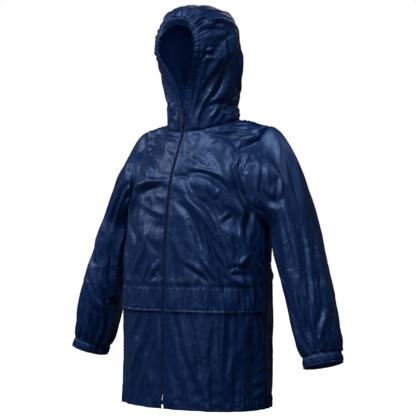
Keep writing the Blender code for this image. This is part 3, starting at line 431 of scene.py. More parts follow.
        (5, -3.2, 0, 38, 116, 40, 89, 38, 62, 28, 35), (4, 2.2, 0, 26, 163, 32, 141, 42, 114),
        (5, 1.7, 0, 12, 131, 13, 94, 16, 53), (5, -2.2, 0, 12, 140, 21, 98, 27, 54),
        (4, 2.4, 0, 23, 155, 36, 163, 63, 163), (4, -2.6, 0, 22, 168, 41, 172, 65, 170),
        (4, 2, 0, 23, 176, 40, 181, 60, 179), (5, -2.4, 0, 12, 251, 33, 258, 64, 269),
        (6, 2.2, 0, 34, 261, 76, 260, 117, 248), (7, -3.2, 0, 24, 233, 65, 229, 112, 226),
        (6, -2.6, 0, 35, 195, 29, 176, 40, 154), (5, 2, 0, 140, 167, 148, 130, 146, 86),
        (6, -2.4, 0, 155, 191, 162, 145, 161, 93), (8, 2.4, 0.3, 190, 200, 176, 140, 190, 90),
        (8, -2.4, 0.3, 220, 190, 214, 130, 226, 80), (8, -2.2, 0.3, 60, 300, 110, 290, 170, 300),
        (7, 2, 0.3, 50, 264, 110, 258, 180, 262), (8, 2.4, 0.3, 200, 300, 230, 260, 236, 200),
        (8, -2.2, 0.3, 130, 350, 190, 330, 240, 290), (7, -2.8, 0.3, 180, 40, 230, 44, 280, 40),
    ),
    "hood_right": (
        (5, 2, 0, 13, 156, 13, 126, 23, 92, 28, 54), (5, -2, 0, 12, 145, 13, 118, 20, 83, 16, 50),
        (5, 1.8, 0, 57, 84, 51, 53, 46, 25), (8, 4, 0.5, 102, 150, 76, 112, 40, 50),
        (8, -4, 0.3, 124, 142, 96, 96, 66, 48), (7, -3.6, 0.4, 96, 56, 150, 48, 210, 50),
        (8, 2.6, 0.4, 140, 196, 132, 150, 140, 110), (7, -2.2, 0.3, 60, 190, 90, 170, 108, 150),
        (8, -2.4, 0.3, 200, 210, 190, 150, 206, 90), (8, 2.4, 0.3, 60, 290, 120, 280, 180, 292),
        (8, -2.2, 0.3, 110, 340, 170, 330, 230, 280), (8, 2.2, 0.3, 220, 300, 240, 240, 230, 180),
        (7, -2.8, 0.3, 180, 40, 230, 44, 280, 40),
    ),
}
CREASE_GAIN, CREASE_SPREAD, CREASE_LEAN = 1.45, 1.7, 0.6

# How the small creases of a piece lie: at a place on its plan, the way they run in degrees from the
# plan's x, and how strong they are there. Before those, how many there are and the widest, in mm.
LAYS = {
    "front_left": (
        (230, 20), (40, 600, -15, 0.5), (140, 600, -3, 1), (240, 600, 5, 1.5), (272, 540, 70, 0.8),
        (60, 530, -25, 0.3), (170, 530, -20, 0.3), (60, 440, -45, 0.7), (150, 430, -50, 0.8),
        (230, 430, -75, 1.6), (50, 350, -60, 0.6), (150, 340, -62, 1.2), (240, 320, -60, 1.6),
        (60, 250, 80, 0.5), (200, 250, 88, 0.6), (60, 130, 78, 0.45), (150, 130, 90, 0.45),
        (240, 110, -60, 0.8), (60, 20, 90, 0.6), (200, 20, 90, 0.7),
    ),
    "front_right": (
        (230, 20), (40, 600, 5, 0.5), (140, 600, 0, 0.9), (240, 590, 5, 1.2), (272, 530, 70, 0.8),
        (60, 530, 5, 0.4), (170, 520, 15, 0.6), (60, 440, 0, 0.5), (150, 430, 35, 0.9),
        (240, 430, 75, 1.2), (50, 340, 40, 0.7), (150, 340, 60, 0.8), (240, 320, 80, 0.9),
        (60, 250, 80, 0.5), (200, 250, 90, 0.6), (60, 130, 70, 0.5), (150, 130, 85, 0.5),
        (240, 110, 90, 0.5), (60, 20, 90, 0.6), (200, 20, 90, 0.7),
    ),
    "back": (
        (400, 22), (0, 600, 0, 1), (-220, 590, -5, 1.2), (220, 590, 5, 1.2), (-230, 500, -40, 1.2),
        (230, 500, 40, 1.2), (0, 500, 0, 0.7), (-120, 460, 45, 1), (120, 460, -45, 1),
        (0, 380, 90, 0.7), (-200, 350, 80, 1), (200, 350, -80, 1), (0, 200, 90, 0.6),
        (-200, 180, 88, 0.6), (200, 180, 92, 0.6), (-120, 30, 90, 0.7), (120, 30, 90, 0.7),
    ),
    "sleeve_left": (
        (260, 13), (0, 30, 70, 0.5), (90, 30, 75, 1.1), (175, 40, 90, 1), (262, 40, 100, 0.9),
        (40, 110, 88, 0.5), (90, 110, 85, 1.1), (180, 110, 90, 0.9), (262, 110, 90, 0.8),
        (40, 220, 90, 0.7), (90, 240, 92, 0.9), (262, 240, 90, 0.8), (175, 240, 90, 0.8),
        (60, 370, 92, 0.9), (175, 370, 90, 1), (290, 370, 90, 1),
    ),
    "sleeve_right": (
        (270, 13), (0, 30, 70, 0.6), (90, 30, 75, 1.1), (175, 40, 90, 1), (262, 40, 100, 0.9),
        (60, 110, 95, 0.9), (120, 130, 70, 1), (180, 110, 90, 0.9), (262, 110, 90, 0.8),
        (60, 220, 60, 1), (120, 270, 30, 1.2), (262, 240, 90, 0.8), (175, 240, 60, 1),
        (60, 370, 85, 0.9), (175, 370, 90, 1), (290, 370, 90, 1),
    ),
    "hood_left": (
        (230, 16), (25, 60, 95, 0.7), (25, 130, 88, 0.6), (25, 200, 10, 0.9), (25, 260, 0, 1.3),
        (25, 350, 0, 1.3), (80, 40, 55, 0.8), (80, 110, 62, 0.7), (80, 200, 10, 0.7),
        (80, 300, 8, 0.8), (150, 40, -5, 1), (150, 120, 80, 0.5), (150, 220, 60, 0.35),
        (150, 330, 25, 0.6), (230, 50, -8, 1), (230, 180, 80, 0.5), (230, 320, 70, 0.5),
        (280, 100, 85, 0.6),
    ),
}
# The right half is the same but for one place, where they are a little stronger
LAYS["hood_right"] = tuple(
    (*row[:3], 0.4) if row[:2] == (150, 220) else row for row in LAYS["hood_left"]
)
LAY_REACH = 25.0

# Soft swells and fine crackle: size in mm across and along the run, its turn in degrees, its height
# in mm and whether it is sharp ridges (1) or soft swells (0)
Grain = namedtuple("Grain", "across along turn height sharp")
GRAINS = {
    "front": (Grain(46, 110, -12, 2.2, 0), Grain(9, 15, -20, 0.42, 1)),
    "back": (Grain(48, 120, 8, 2.4, 0), Grain(9, 15, 20, 0.42, 1)),
    "sleeve": (Grain(26, 120, 4, 2.0, 0), Grain(9, 15, 10, 0.42, 1)),
    "hood": (Grain(34, 60, 20, 2.6, 0), Grain(8, 12, 30, 0.40, 1)),
}

def smooth(places, values, at):
    """A cubic curve through values at places, read at other places."""
    places = np.asarray(places, float)
    values = np.asarray(values, float)
    slopes = np.gradient(values, places, axis=0)
    at = np.asarray(at, float)
    i = np.clip(np.searchsorted(places, at, side="right") - 1, 0, len(places) - 2)
    step = places[i + 1] - places[i]
    k = (at - places[i]) / step
    if values.ndim > 1:
        extra = (...,) + (None,) * (values.ndim - 1)
        k, step = k[extra], step[extra]
    return (
        values[i] * (1 + 2 * k) * (1 - k) ** 2
        + values[i + 1] * k * k * (3 - 2 * k)
        + step * (slopes[i] * k * (1 - k) ** 2 + slopes[i + 1] * k * k * (k - 1))
    )


def hermite(start, end, leave, arrive, k):
    """Points k of the way from start to end, with the directions at both ends."""
    k = k[..., None]
    return (
        start * (1 + 2 * k) * (1 - k) ** 2
        + end * k * k * (3 - 2 * k)
        + leave * k * (1 - k) ** 2
        + arrive * k * k * (k - 1)
    )


def ease(k):
    """0 up to 0 and 1 from 1, with a soft rise between."""
    k = np.clip(k, 0.0, 1.0)
    return k * k * (3 - 2 * k)


def mound(gap, reach):
    """1 on a line and falling softly to nothing some way past its reach."""
    return np.exp(-((gap / reach) ** 2))


def arch(k, power=0.6):
    """0 at both ends of 0 to 1 and 1 half way."""
    return np.sin(np.pi * np.clip(k, 0, 1)) ** power


def unit(vectors):
    return vectors / np.maximum(np.linalg.norm(vectors, axis=-1, keepdims=True), 1e-12)


def points(x, y, z):
    return np.stack(np.broadcast_arrays(x, y, z), axis=-1).astype(float)


def columns(table, *names):
    return [[getattr(row, name) for row in table] for name in names]


def follow(table, name, at):
    """The named column of a table, read smoothly at places in its first column."""
    return smooth(*columns(table, table[0]._fields[0], name), at)


def neck_point(angle):
    """A point of the neck seam, angle in degrees from the centre front."""
    t = np.radians(angle)
    depth = np.where(np.cos(t) > 0, NECK_FRONT_DEPTH, NECK_BACK_DEPTH)
    middle = (NECK_FRONT_Z + NECK_BACK_Z) / 2
    rise = (NECK_BACK_Z - NECK_FRONT_Z) / 2
    z = middle - rise * np.cos(t) + (NECK_SIDE_Z - middle) * np.sin(t) ** 2
    return points(NECK_HALF_WIDTH * np.sin(t), NECK_Y - depth * np.cos(t), z)


def armhole_point(s):
    """The armhole at s: 0 at the shoulder tip, 0.5 at the underarm, 1 back at the tip."""
    rows = np.array(ARMHOLE)
    places = np.arange(-2, len(rows) + 3)
    return smooth(places / len(rows), rows[places % len(rows)], s)


def top_point(u, front):
    """The panel's top edge: neck seam, then the shoulder seam out to the armhole."""
    first = np.asarray(NECK_FRONT_ANGLES)
    if front:
        angle = np.interp(u / NECK_SHARE, np.linspace(0, 1, len(first)), first)
    else:
        angle = 180 - (180 - SHOULDER_ANGLE) * np.clip(u / NECK_SHARE, 0, 1)
    along = np.clip((u - NECK_SHARE) / (1 - NECK_SHARE), 0, 1)[..., None]
    neck = neck_point(np.clip(angle, 0, 180))
    bow = SHOULDER_BOW * 4 * along * (1 - along) * np.array([0.0, 0.0, 1.0])
    shoulder = neck_point(np.full_like(u, SHOULDER_ANGLE)) * (1 - along)
    shoulder = shoulder + armhole_point(np.zeros_like(u)) * along + bow
    return np.where(u[..., None] <= NECK_SHARE, neck, shoulder)


def waist_point(u, z, front):
    """The body below the armholes at height z, u from the centre line to the side seam."""
    width, fore, rear, side = (
        follow(SECTIONS, name, z) for name in ("half_width", "front", "back", "side")
    )
    start = np.arcsin(ZIP_EDGE / width) if front else 0.0
    t = start + (math.pi / 2 - start) * u
    y = side - (side - (fore if front else rear)) * np.cos(t)
    return points(width * np.sin(t), y, z)


def yoke_point(u, rise, front):
    """The body between the underarm line (rise 0) and the neck and shoulder seams (rise 1)."""
    sign = 1.0 if front else -1.0

    def leaving(share):
        here, below = (
            waist_point(share, np.full_like(share, UNDERARM_Z - drop), front)
            for drop in (0.0, SLOPE_STEP)
        )
        return (here - below) / SLOPE_STEP * (0.26 + 0.05 * ease(share / NECK_SHARE))[..., None]

    def arriving(share):
        turn = math.pi / 2 * np.clip(share / NECK_SHARE, 0, 1)
        past = ease((share - 0.45 * NECK_SHARE) / (1.1 * NECK_SHARE))[..., None]
        inward = points(-np.sin(turn), sign * np.cos(turn), 0.0)
        across = points(0.0, sign * np.ones_like(share), 0.0)
        reach = ease(share / NECK_SHARE)
        flat = inward * (1 - past) + across * past
        return flat * (0.07 + 0.13 * reach)[..., None] + points(0.0, 0.0, 0.17 - 0.10 * reach)

    def rib(share):
        low = waist_point(share, np.full_like(u, UNDERARM_Z), front)
        top = top_point(share, front)
        return low, top, hermite(low, top, leaving(share), arriving(share), rise)

    here = rib(u)[2]
    side = rib(np.ones_like(u))[2]
    mid_low, mid_top, middle = rib(np.zeros_like(u))
    hole = armhole_point(0.5 * (1 - rise) if front else 0.5 + 0.5 * rise)
    line = follow(CENTRES, "front" if front else "back", rise)
    x = ZIP_EDGE if front else 0.0
    centre = points(x, line, mid_low[..., 2] + (mid_top[..., 2] - mid_low[..., 2]) * rise)
    return here + (u**2)[..., None] * (hole - side) + ((1 - u) ** 2)[..., None] * (centre - middle)


def body_point(u, v, front):
    """v runs 0 to 1 from the hem to the underarm line, and 1 to 2 on to the neck and shoulder."""
    z = HEM_Z + (UNDERARM_Z - HEM_Z) * np.minimum(v, 1)
    low = waist_point(u, z, front)
    high = yoke_point(u, np.clip(v - 1, 0, 1), front)
    return np.where(v[..., None] <= 1, low, high)


def sleeve_frame(z):
    """Centre, axis and the two cross directions of the sleeve at height z."""
    rows = np.array(SLEEVE)[::-1]
    centre = smooth(rows[:, 2], rows[:, :3], z)
    below, above = (smooth(rows[:, 2], rows[:, :3], z + step) for step in (-SLOPE_STEP, SLOPE_STEP))
    axis = unit(below - above)
    out = np.array([1.0, 0.0, 0.0])
    out = unit(out - axis * (axis @ out)[..., None])
    return centre, axis, out, np.cross(out, axis), smooth(rows[:, 2], rows[:, 3:], z)


def ring_point(s, z):
    centre, _, out, back, size = sleeve_frame(z)
    t = 2 * np.pi * s
    return (
        centre
        + out * (size[..., 0] * np.cos(t))[..., None]
        - back * (size[..., 1] * np.sin(t))[..., None]
    )


def sleeve_point(s, w):
    """w runs 0 to 1 down the sleeve head and 1 to 2 down to the wrist seam."""
    z = SLEEVE[0].z + (SLEEVE[-1].z - SLEEVE[0].z) * np.clip(w - 1, 0, 1)
    first = np.full_like(s, SLEEVE[0].z)
    _, axis, _, _, _ = sleeve_frame(first)
    over = np.cos(2 * np.pi * s)
    along = np.sin(2 * np.pi * s)
    leave = points(0.086 + 0.075 * over + 0.022 * over**2, -0.045 * along, -0.028 + 0.048 * over)
    arrive = axis * (0.115 + 0.070 * over)[..., None]
    head = hermite(armhole_point(s), ring_point(s, first), leave, arrive, np.clip(w, 0, 1))
    return np.where(w[..., None] <= 1, head, ring_point(s, z))


def hood_point(foot, rise):
    """The left half of the hood: foot in degrees round the neck, rise 0 to 1 up to the widest
    place and 1 to 2 over to the centre seam."""
    side = points(*(follow(HOOD, name, foot) for name in ("side_x", "side_y", "side_z")))
    top_y, top_z = (follow(HOOD, name, foot) for name in ("top_y", "top_z"))
    base = neck_point(foot)
    k = np.clip(rise, 0, 1)
    spread = (ease(k) ** 2.4)[..., None]
    low = base + (side - base) * np.concatenate([spread, spread, k[..., None]], axis=-1)
    a = np.clip(rise - 1, 0, 1) * math.pi / 2
    high = points(
        side[..., 0] * np.maximum(np.cos(a), 0) ** HOOD_FULLNESS,
        side[..., 1] + (top_y - side[..., 1]) * np.sin(a) ** 2,
        side[..., 2] + (top_z - side[..., 2]) * np.sin(a) ** HOOD_FULLNESS,
    )
    return np.where((rise <= 1)[..., None], low, high)


# ---- relief on a plan


def normals_of(grid, closed):
    """Outward directions of a grid of points whose rows run up and columns run round."""
    if closed:
        across = np.roll(grid, -1, axis=1) - np.roll(grid, 1, axis=1)
    else:
        across = np.gradient(grid, axis=1)
    return unit(np.cross(across, np.gradient(grid, axis=0)))


def unwrap(x, middle, turn):
    """x moved by whole turns to lie round middle, on a tube of that girth."""
    return (x - middle + turn / 2) % turn - turn / 2 + middle if turn else x


def fold_heights(name, x, y, turn=None):
    """Broad swells along bowed lines, fading at both ends."""
    total = np.zeros_like(x)
    for row in map(Fold._make, FOLDS[name]):
        run = np.array([row.x1 - row.x0, row.y1 - row.y0], float)
        length = np.hypot(*run)
        away = unwrap(x, (row.x0 + row.x1) / 2, turn) - row.x0
        along = (away * run[0] + (y - row.y0) * run[1]) / length**2
        across = (away * run[1] - (y - row.y0) * run[0]) / length
        across = across - row.bow * 4 * along * (1 - along)
        total += row.height * arch(along, 0.7) * mound(across, row.width)
    return total


def crease_heights(name, x, y, turn=None):
    """Soft troughs and ridges along smooth paths, fading at both ends."""
    total = np.zeros_like(x)
    for row in CREASES[name]:
        width, height, lean = row[:3]
        path = np.array(row[3:], float).reshape(-1, 2)
        knots = np.arange(len(path))
        fine = smooth(knots, path, np.linspace(0, len(path) - 1, 8 * len(path) - 7))
        here = unwrap(x, path[:, 0].mean(), turn)
        near = np.full(x.shape, np.inf)
        side = np.zeros_like(x)
        share = np.zeros_like(x)
        lengths = np.hypot(*np.diff(fine, axis=0).T)
        before = np.concatenate([[0], np.cumsum(lengths)])
        for a, b, length, start in zip(fine[:-1], fine[1:], lengths, before):
            run = (b - a) / length
            dx, dy = here - a[0], y - a[1]
            along = np.clip(dx * run[0] + dy * run[1], 0, length)
            gap = np.hypot(dx - along * run[0], dy - along * run[1])
            closer = gap < near
            near = np.where(closer, gap, near)
            side = np.where(closer, dx * run[1] - dy * run[0], side)
            share = np.where(closer, (start + along) / before[-1], share)
        fade = arch(np.clip(share, 0.02, 0.98))
        across = near * np.where(side > 0, 1.0, -1.0)
        reach = CREASE_SPREAD * width * (0.4 + 0.6 * fade)
        total += CREASE_GAIN * height * fade * tent(across, reach, CREASE_LEAN * lean)
    return total


def cloud(x, y, seed):
    """Even-grained gradient noise, about -1 to 1, with a fixed seed."""
    angles = np.random.RandomState(seed).rand(64, 64) * 2 * np.pi
    i, j = np.floor(x).astype(int), np.floor(y).astype(int)
    a, b = x - i, y - j

    def corner(di, dj):
        angle = angles[(i + di) % 64, (j + dj) % 64]
        return np.cos(angle) * (a - di) + np.sin(angle) * (b - dj)

    u, v = (k**3 * (k * (6 * k - 15) + 10) for k in (a, b))
    low = corner(0, 0) * (1 - u) + corner(1, 0) * u
    high = corner(0, 1) * (1 - u) + corner(1, 1) * u
    return 1.5 * (low * (1 - v) + high * v)


def share_noise(x, y, seed):
    """Slow noise from 0 to 1."""
    return np.clip(0.5 + 0.7 * cloud(x + 0.37, y + 0.71, seed), 0, 1)


def crumple(kind, x, y, seed):
    """Slow swells and a fine crackle, in mm."""
    total = np.zeros_like(x)
    for i, row in enumerate(GRAINS[kind]):
        turn = math.radians(row.turn)
        px = (x * math.cos(turn) + y * math.sin(turn)) / row.across
        py = (y * math.cos(turn) - x * math.sin(turn)) / row.along
        here = seed + 13 * i
        drift = 0.7 * cloud(px * 0.6 + 9, py * 0.6 + 4, here + 1)
        value = cloud(px + drift, py + 0.5 * cloud(px * 0.6 + 2, py * 0.6, here + 2), here)
        if row.sharp:
            value = 0.55 - 2.0 * np.sqrt(value**2 + 0.002)
        slow_x, slow_y = x / (2.6 * row.across + 20), y / (2.0 * row.along + 20)
        strength = 0.25 + 1.5 * share_noise(slow_x, slow_y, here + 3) ** 1.5
        total += row.height * strength * value
    return total


def tent(across, width, lean):
    """A sharp ridge, 1 high on its line and falling straight to 0 at its width on each side."""
    reach = width * np.where(across > 0, 1 + lean, 1 - lean)
    return np.maximum(0, 1 - np.sqrt(across**2 + 0.8) / reach)


def lay_shares(lays, x, y, turn=None):
    """How much each lay of a plan counts at places on it."""
    gap = x[..., None] - lays[:, 0]
    if turn:
        gap = unwrap(gap, 0, turn)
    near = 1 / (gap**2 + (y[..., None] - lays[:, 1]) ** 2 + LAY_REACH**2) ** 1.5
    return near / near.sum(axis=-1, keepdims=True)


def small_creases(name, x, y, seed, turn=None):
    """Many short sharp creases that run the way the cloth is drawn, in mm."""
    (count, widest), *lays = LAYS[name]
    lays = np.array(lays)
    random = np.random.RandomState(seed)
    low, high = np.array([x.min(), y.min()]), np.array([x.max(), y.max()])
    total = np.zeros_like(x)
    for _ in range(count):
        spot = low + (high - low) * random.rand(2)
        near = lay_shares(lays, *spot)
        double = np.radians(2 * lays[:, 2])
        angle = 0.5 * math.atan2(near @ np.sin(double), near @ np.cos(double))
        angle += random.normal(0, 0.24)
        width = 4 + widest * random.rand() ** 2.0
        length = width * (3.5 + 5.5 * random.rand())
        height = (near @ lays[:, 3]) * width * random.choice([0.17, 0.22, -0.19])
        height *= 0.6 + 0.6 * random.rand()
        lean, bow = random.uniform(-0.6, 0.6), random.normal(0, 0.10) * length
        away, up = unwrap(x, spot[0], turn) - spot[0], y - spot[1]
        along = (away * math.cos(angle) + up * math.sin(angle)) / (0.5 * length)
        across = up * math.cos(angle) - away * math.sin(angle) + bow * (along**2 - 0.3)
        fade = np.clip(1 - along**2, 0, 1)
        total += height * fade * tent(across, width * (0.35 + 0.65 * fade), lean)
    return total


def lay_field(name, x, y, turn=None):
    """The way the small creases run at places on a plan, in radians, and how strong they are."""
    lays = np.array(LAYS[name][1:])
    near = lay_shares(lays, x, y, turn)
    double = np.radians(2 * lays[:, 2])
    return 0.5 * np.arctan2(near @ np.sin(double), near @ np.cos(double)), near @ lays[:, 3]


def second_steps(field, closed):
    """The sum of a grid's second steps both ways, 0 over its edges."""
    total = np.zeros_like(field)
    if closed:
        total += np.roll(field, 1, axis=1) + np.roll(field, -1, axis=1) - 2 * field
    else:
        total[:, 1:-1] += field[:, 2:] + field[:, :-2] - 2 * field[:, 1:-1]
    total[1:-1] += field[2:] + field[:-2] - 2 * field[1:-1]
    return total


def settled(grid, x, y, closed, name, growth, rounds, turn, stiff=0.012, hold=0.003, keep=0.9):
    """Give cloth spare length across its lay and let it buckle into its own small folds. It is
    held along its sewn edges and lightly to its form, and an open hem is free."""
    rows, cols = grid.shape[:2]
    angle, strength = (field.ravel() for field in lay_field(name, x, y, turn))
    base, px, py = grid.reshape(-1, 3), x.ravel(), y.ravel()
    index = np.arange(rows * cols).reshape(rows, cols)
    threads = []
    for dr, dc, pull in ((0, 1, 0.5), (1, 0, 0.5), (1, 1, 0.25), (1, -1, 0.25)):
        r, c = np.meshgrid(np.arange(rows - dr), np.arange(cols), indexing="ij")
        inside = closed | ((c + dc >= 0) & (c + dc < cols))
        for parity in (0, 1):
            pick = inside & ((c if dr == 0 else r) % 2 == parity)
            a, b = index[r[pick], c[pick]], index[r[pick] + dr, (c[pick] + dc) % cols]
            dx = unwrap(px[b] - px[a], 0, turn)
            across = np.sin(np.arctan2(py[b] - py[a], dx) - angle[a]) ** 2
            rest = np.linalg.norm(base[b] - base[a], axis=1) * (1 + growth * strength[a] * across)
            threads.append((a, b, rest, pull))
    sewn = np.zeros((rows, cols), bool)
    sewn[0 if y[0, 0] > y[-1, 0] else -1] = True
    if closed or name.startswith("hood"):
        sewn[[0, -1]] = True
    if not closed:
        sewn[:, [0, -1]] = True
    sewn = sewn.ravel()
    normals = normals_of(grid, closed).reshape(-1, 3)
    now, last = base.copy(), base
    for _ in range(rounds):
        now, last = now + keep * (now - last), now
        for a, b, rest, pull in threads:
            gap = now[b] - now[a]
            move = gap * (pull * (1 - rest / np.sqrt(np.einsum("ij,ij->i", gap, gap))))[:, None]
            now[a] += move
            now[b] -= move
        off = now - base
        bent = second_steps(second_steps(off.reshape(rows, cols, 3), closed), closed).reshape(-1, 3)
        height = np.einsum("ij,ij->i", off, normals)
        now = now - stiff * bent - normals * (hold * height)[:, None]
        now[sewn] = base[sewn]
    return now.reshape(rows, cols, 3)


def settle(shell, turn=None):
    """Let a shell buckle, first in wide folds on every other point, then in small ones."""
    for step, growth, rounds in SETTLING:
        few, x, y = (a[::step, ::step] for a in (shell.grid, shell.x, shell.y))
        growth = growth * sizes().spare_length
        moved = settled(few, x, y, shell.closed, shell.name, growth, rounds, turn) - few
        if step > 1:
            if shell.closed:
                moved = np.concatenate([moved[:, -3:], moved, moved[:, :4]], axis=1)
            moved = finer(moved, step)
            if shell.closed:
                moved = moved[:, 3 * step : 3 * step + shell.grid.shape[1]]
        shell.shape(shell.grid + moved)


def gathers(turn, count):
    """Uneven waves round an elastic edge, -1 to 1, turn 0 to 1 along it."""
    t = 2 * np.pi * turn
    wide = np.sin(count * t + 0.9 * np.sin(3 * t))
    return 0.75 * wide + 0.25 * np.sin(2 * count * t + 1.3 * np.sin(5 * t))


def tucks(along, away, seed):
    """Rounded hills with sharp valleys between them, -1 to 1, drawn up beside elastic."""
    near = np.abs(cloud(along, away, seed)) ** 0.8
    fine = np.abs(cloud(2 * along + 5, 1.4 * away, seed + 1)) ** 0.8
    return 2.0 * near - 0.75 + 0.7 * (2.0 * fine - 0.75)


def pucker(along, away, seed, reach=14.0, pitch=7.0):
    """Little cross ridges beside a sewn line, in mm: along it and away from it."""
    near = cloud(along / pitch, away / 30.0, seed)
    far = cloud(along / (1.8 * pitch), away / 45.0, seed + 1)
    waves = 0.6 * (0.4 - 1.6 * np.abs(near)) + (0.4 - 1.6 * np.abs(far))
    return waves * mound(away, reach)


def armhole_shaped(grid, side):
    """Points beside an armhole moved in or out with its seam, the same for both sewn pieces."""
    s = np.linspace(0, 1, 241)[:-1]
    seam = armhole_point(s)
    out = unit(seam - np.array(ARM_MIDDLE))
    height, reach = (np.interp(s, *columns(SINKS, "s", name)) for name in ("height", "reach"))
    flat = grid.reshape(-1, 3) * np.array([side, 1.0, 1.0])
    moved = flat.copy()
    near = np.flatnonzero(np.abs(flat - seam.mean(axis=0)).max(axis=1) < 0.20)
    for part in np.array_split(near, max(1, len(near) // 4000)):
        gap = np.linalg.norm(flat[part][:, None] - seam[None], axis=2)
        i = gap.argmin(axis=1)
        away = gap[np.arange(len(part)), i] / MM
        moved[part] += out[i] * (height[i] * MM * mound(away, reach[i]))[:, None]
    return dented(moved.reshape(grid.shape), SHOULDER_DENTS) * np.array([side, 1.0, 1.0])


def dented(grid, dents):
    """Points moved where the coat has sunk, the same for pieces that meet there."""
    total = np.zeros_like(grid)
    for row in dents:
        near = (((grid - np.array(row[:3])) / (row.reach * MM)) ** 2).sum(axis=-1, keepdims=True)
        total += np.exp(-near) * np.array(row[4:]) * MM
    return grid + total


# ---- shells


class Shell:
    """A cut piece: a fine grid of points with its plan in mm, its normals and whether it closes."""

    def __init__(self, name, grid, x, y, closed=False):
        self.name, self.x, self.y, self.closed = name, x, y, closed
        self.shape(grid)

    def shape(self, grid):
        self.grid, self.normals = grid, normals_of(grid, self.closed)

    def raise_by(self, heights):
        self.shape(self.grid + self.normals * (heights * MM)[..., None])

    def worn(self, sign):
        """This left-hand piece, or the wearer's right-hand one made from it."""
        if sign > 0:
            return self
        turned = self.grid[:, ::-1] * np.array([-1.0, 1.0, 1.0])
        return Shell(self.name, turned, self.x[:, ::-1], self.y[:, ::-1], self.closed)


SHELLS = {}


def sizes():
    return bpy.context.scene.coat_sizes


def spread(count, knots):
    """Fine places between knots, count to each step."""
    knots = np.asarray(knots, float)
    steps = len(knots) - 1
    return np.interp(np.linspace(0, steps, steps * count + 1), np.arange(steps + 1), knots)


def two_parts(first, second):
    """Even steps from 0 to 1 and then from 1 to 2."""
    return np.concatenate([np.linspace(0, 1, first + 1), np.linspace(1, 2, second + 1)[1:]])


def edge_fade(shell, cells, edges):
    """0 on the named sewn edges and 1 from two plan cells in."""
    rows, cols = shell.grid.shape[:2]
    r, c = np.meshgrid(np.arange(rows), np.arange(cols), indexing="ij")
    steps = {"bottom": r, "top": rows - 1 - r, "first": c, "last": cols - 1 - c}
    fade = np.ones((rows, cols))
    for edge in edges:
        fade = fade * np.clip(steps[edge] / (2 * cells), 0, 1)
    return fade


def broad(field, closed, reach):
    """The slow part of a field: its running mean over reach points each way, taken twice."""
    for axis in (0, 1, 0, 1):
        pad = [(0, 0), (0, 0)]
        pad[axis] = (reach + 1, reach)
        sums = np.cumsum(np.pad(field, pad, "wrap" if closed and axis else "reflect"), axis=axis)
        count = field.shape[axis]
        ahead = np.take(sums, np.arange(2 * reach + 1, 2 * reach + 1 + count), axis=axis)
        behind = np.take(sums, np.arange(count), axis=axis)
        field = (ahead - behind) / (2 * reach + 1)
    return field


def relief(shell, seed, edges):
    """Raise a shell by its large folds, then by creases and crumples that end at the seams."""
    name, x, y, cells = shell.name, shell.x, shell.y, sizes().cells
    turn = SLEEVE_ROUND if shell.closed else None
    shell.raise_by(fold_heights(name, x, y, turn) * edge_fade(shell, cells, edges))
    form, out = shell.grid, shell.normals
    fine = crease_heights(name, x, y, turn) * sizes().crease_depth
    small = CRACKLE_SHARE * crumple(name.split("_")[0], x, y, seed)
    small = small + SMALL_SHARE * small_creases(name, x, y, seed + 7, turn)
    fine = fine + small * sizes().crumple_depth
    shell.raise_by(fine * edge_fade(shell, max(1, cells // 4), edges))
    settle(shell, turn)
    # spare cloth folds, but on the whole it neither swells nor sinks
    moved = np.einsum("ijk,ijk->ij", shell.grid - form, out)
    swell = broad(moved, shell.closed, 2 * cells)
    shell.shape(shell.grid - out * (swell * edge_fade(shell, cells, edges))[..., None])


def panel_columns():
    neck = np.linspace(0, NECK_SHARE, NECK_COLUMNS + 1)
    shoulder = np.linspace(NECK_SHARE, 1, SHOULDER_COLUMNS + 1)[1:]
    return np.concatenate([neck, shoulder])


def relax(grid, fixed_rows, times=10):
    """Even out the inner points of a grid between its edges, leaving the first rows alone."""
    grid = grid.copy()
    inner = np.s_[fixed_rows:-1, 1:-1]
    for _ in range(times):
        middle = (
            grid[fixed_rows - 1 : -2, 1:-1]
            + grid[fixed_rows + 1 :, 1:-1]
            + grid[fixed_rows:-1, :-2]
            + grid[fixed_rows:-1, 2:]
        ) / 4
        grid[inner] = grid[inner] * 0.4 + middle * 0.6
    return grid


def finer(grid, cells):
    """A cubic surface through a coarse grid, cells fine steps to each of its steps."""
    for _ in range(2):
        last = len(grid) - 1
        grid = smooth(np.arange(last + 1), grid, np.linspace(0, last, last * cells + 1))
        grid = grid.transpose(1, 0, 2)
    return grid


def half_body(name, front):
    """The left front, or the left half of the back, without its folds."""
    cells, body_rows = sizes().cells, two_parts(LOWER_ROWS, YOKE_ROWS)
    u, v = np.meshgrid(panel_columns(), body_rows)
    grid = finer(relax(body_point(u, v, front), LOWER_ROWS + 1), cells)
    u, v = np.meshgrid(spread(cells, panel_columns()), spread(cells, body_rows))
    exact = body_point(u, v, front)
    rows, cols = (np.arange(count) for count in u.shape)
    top, last, first = (ease(1 - a / (2.0 * cells)) for a in (rows[::-1], cols[::-1], cols))
    grid = grid + (exact[-1:] - grid[-1:]) * top[:, None, None]
    grid = grid + (exact[:, -1:] - grid[:, -1:]) * last[None, :, None]
    grid = grid + (exact[:, :1] - grid[:, :1]) * first[None, :, None]
    y = np.minimum(v, 1) * LOWER_HEIGHT + np.maximum(v - 1, 0) * YOKE_HEIGHT
    return Shell(name, grid, u * QUARTER_GIRTH, y)


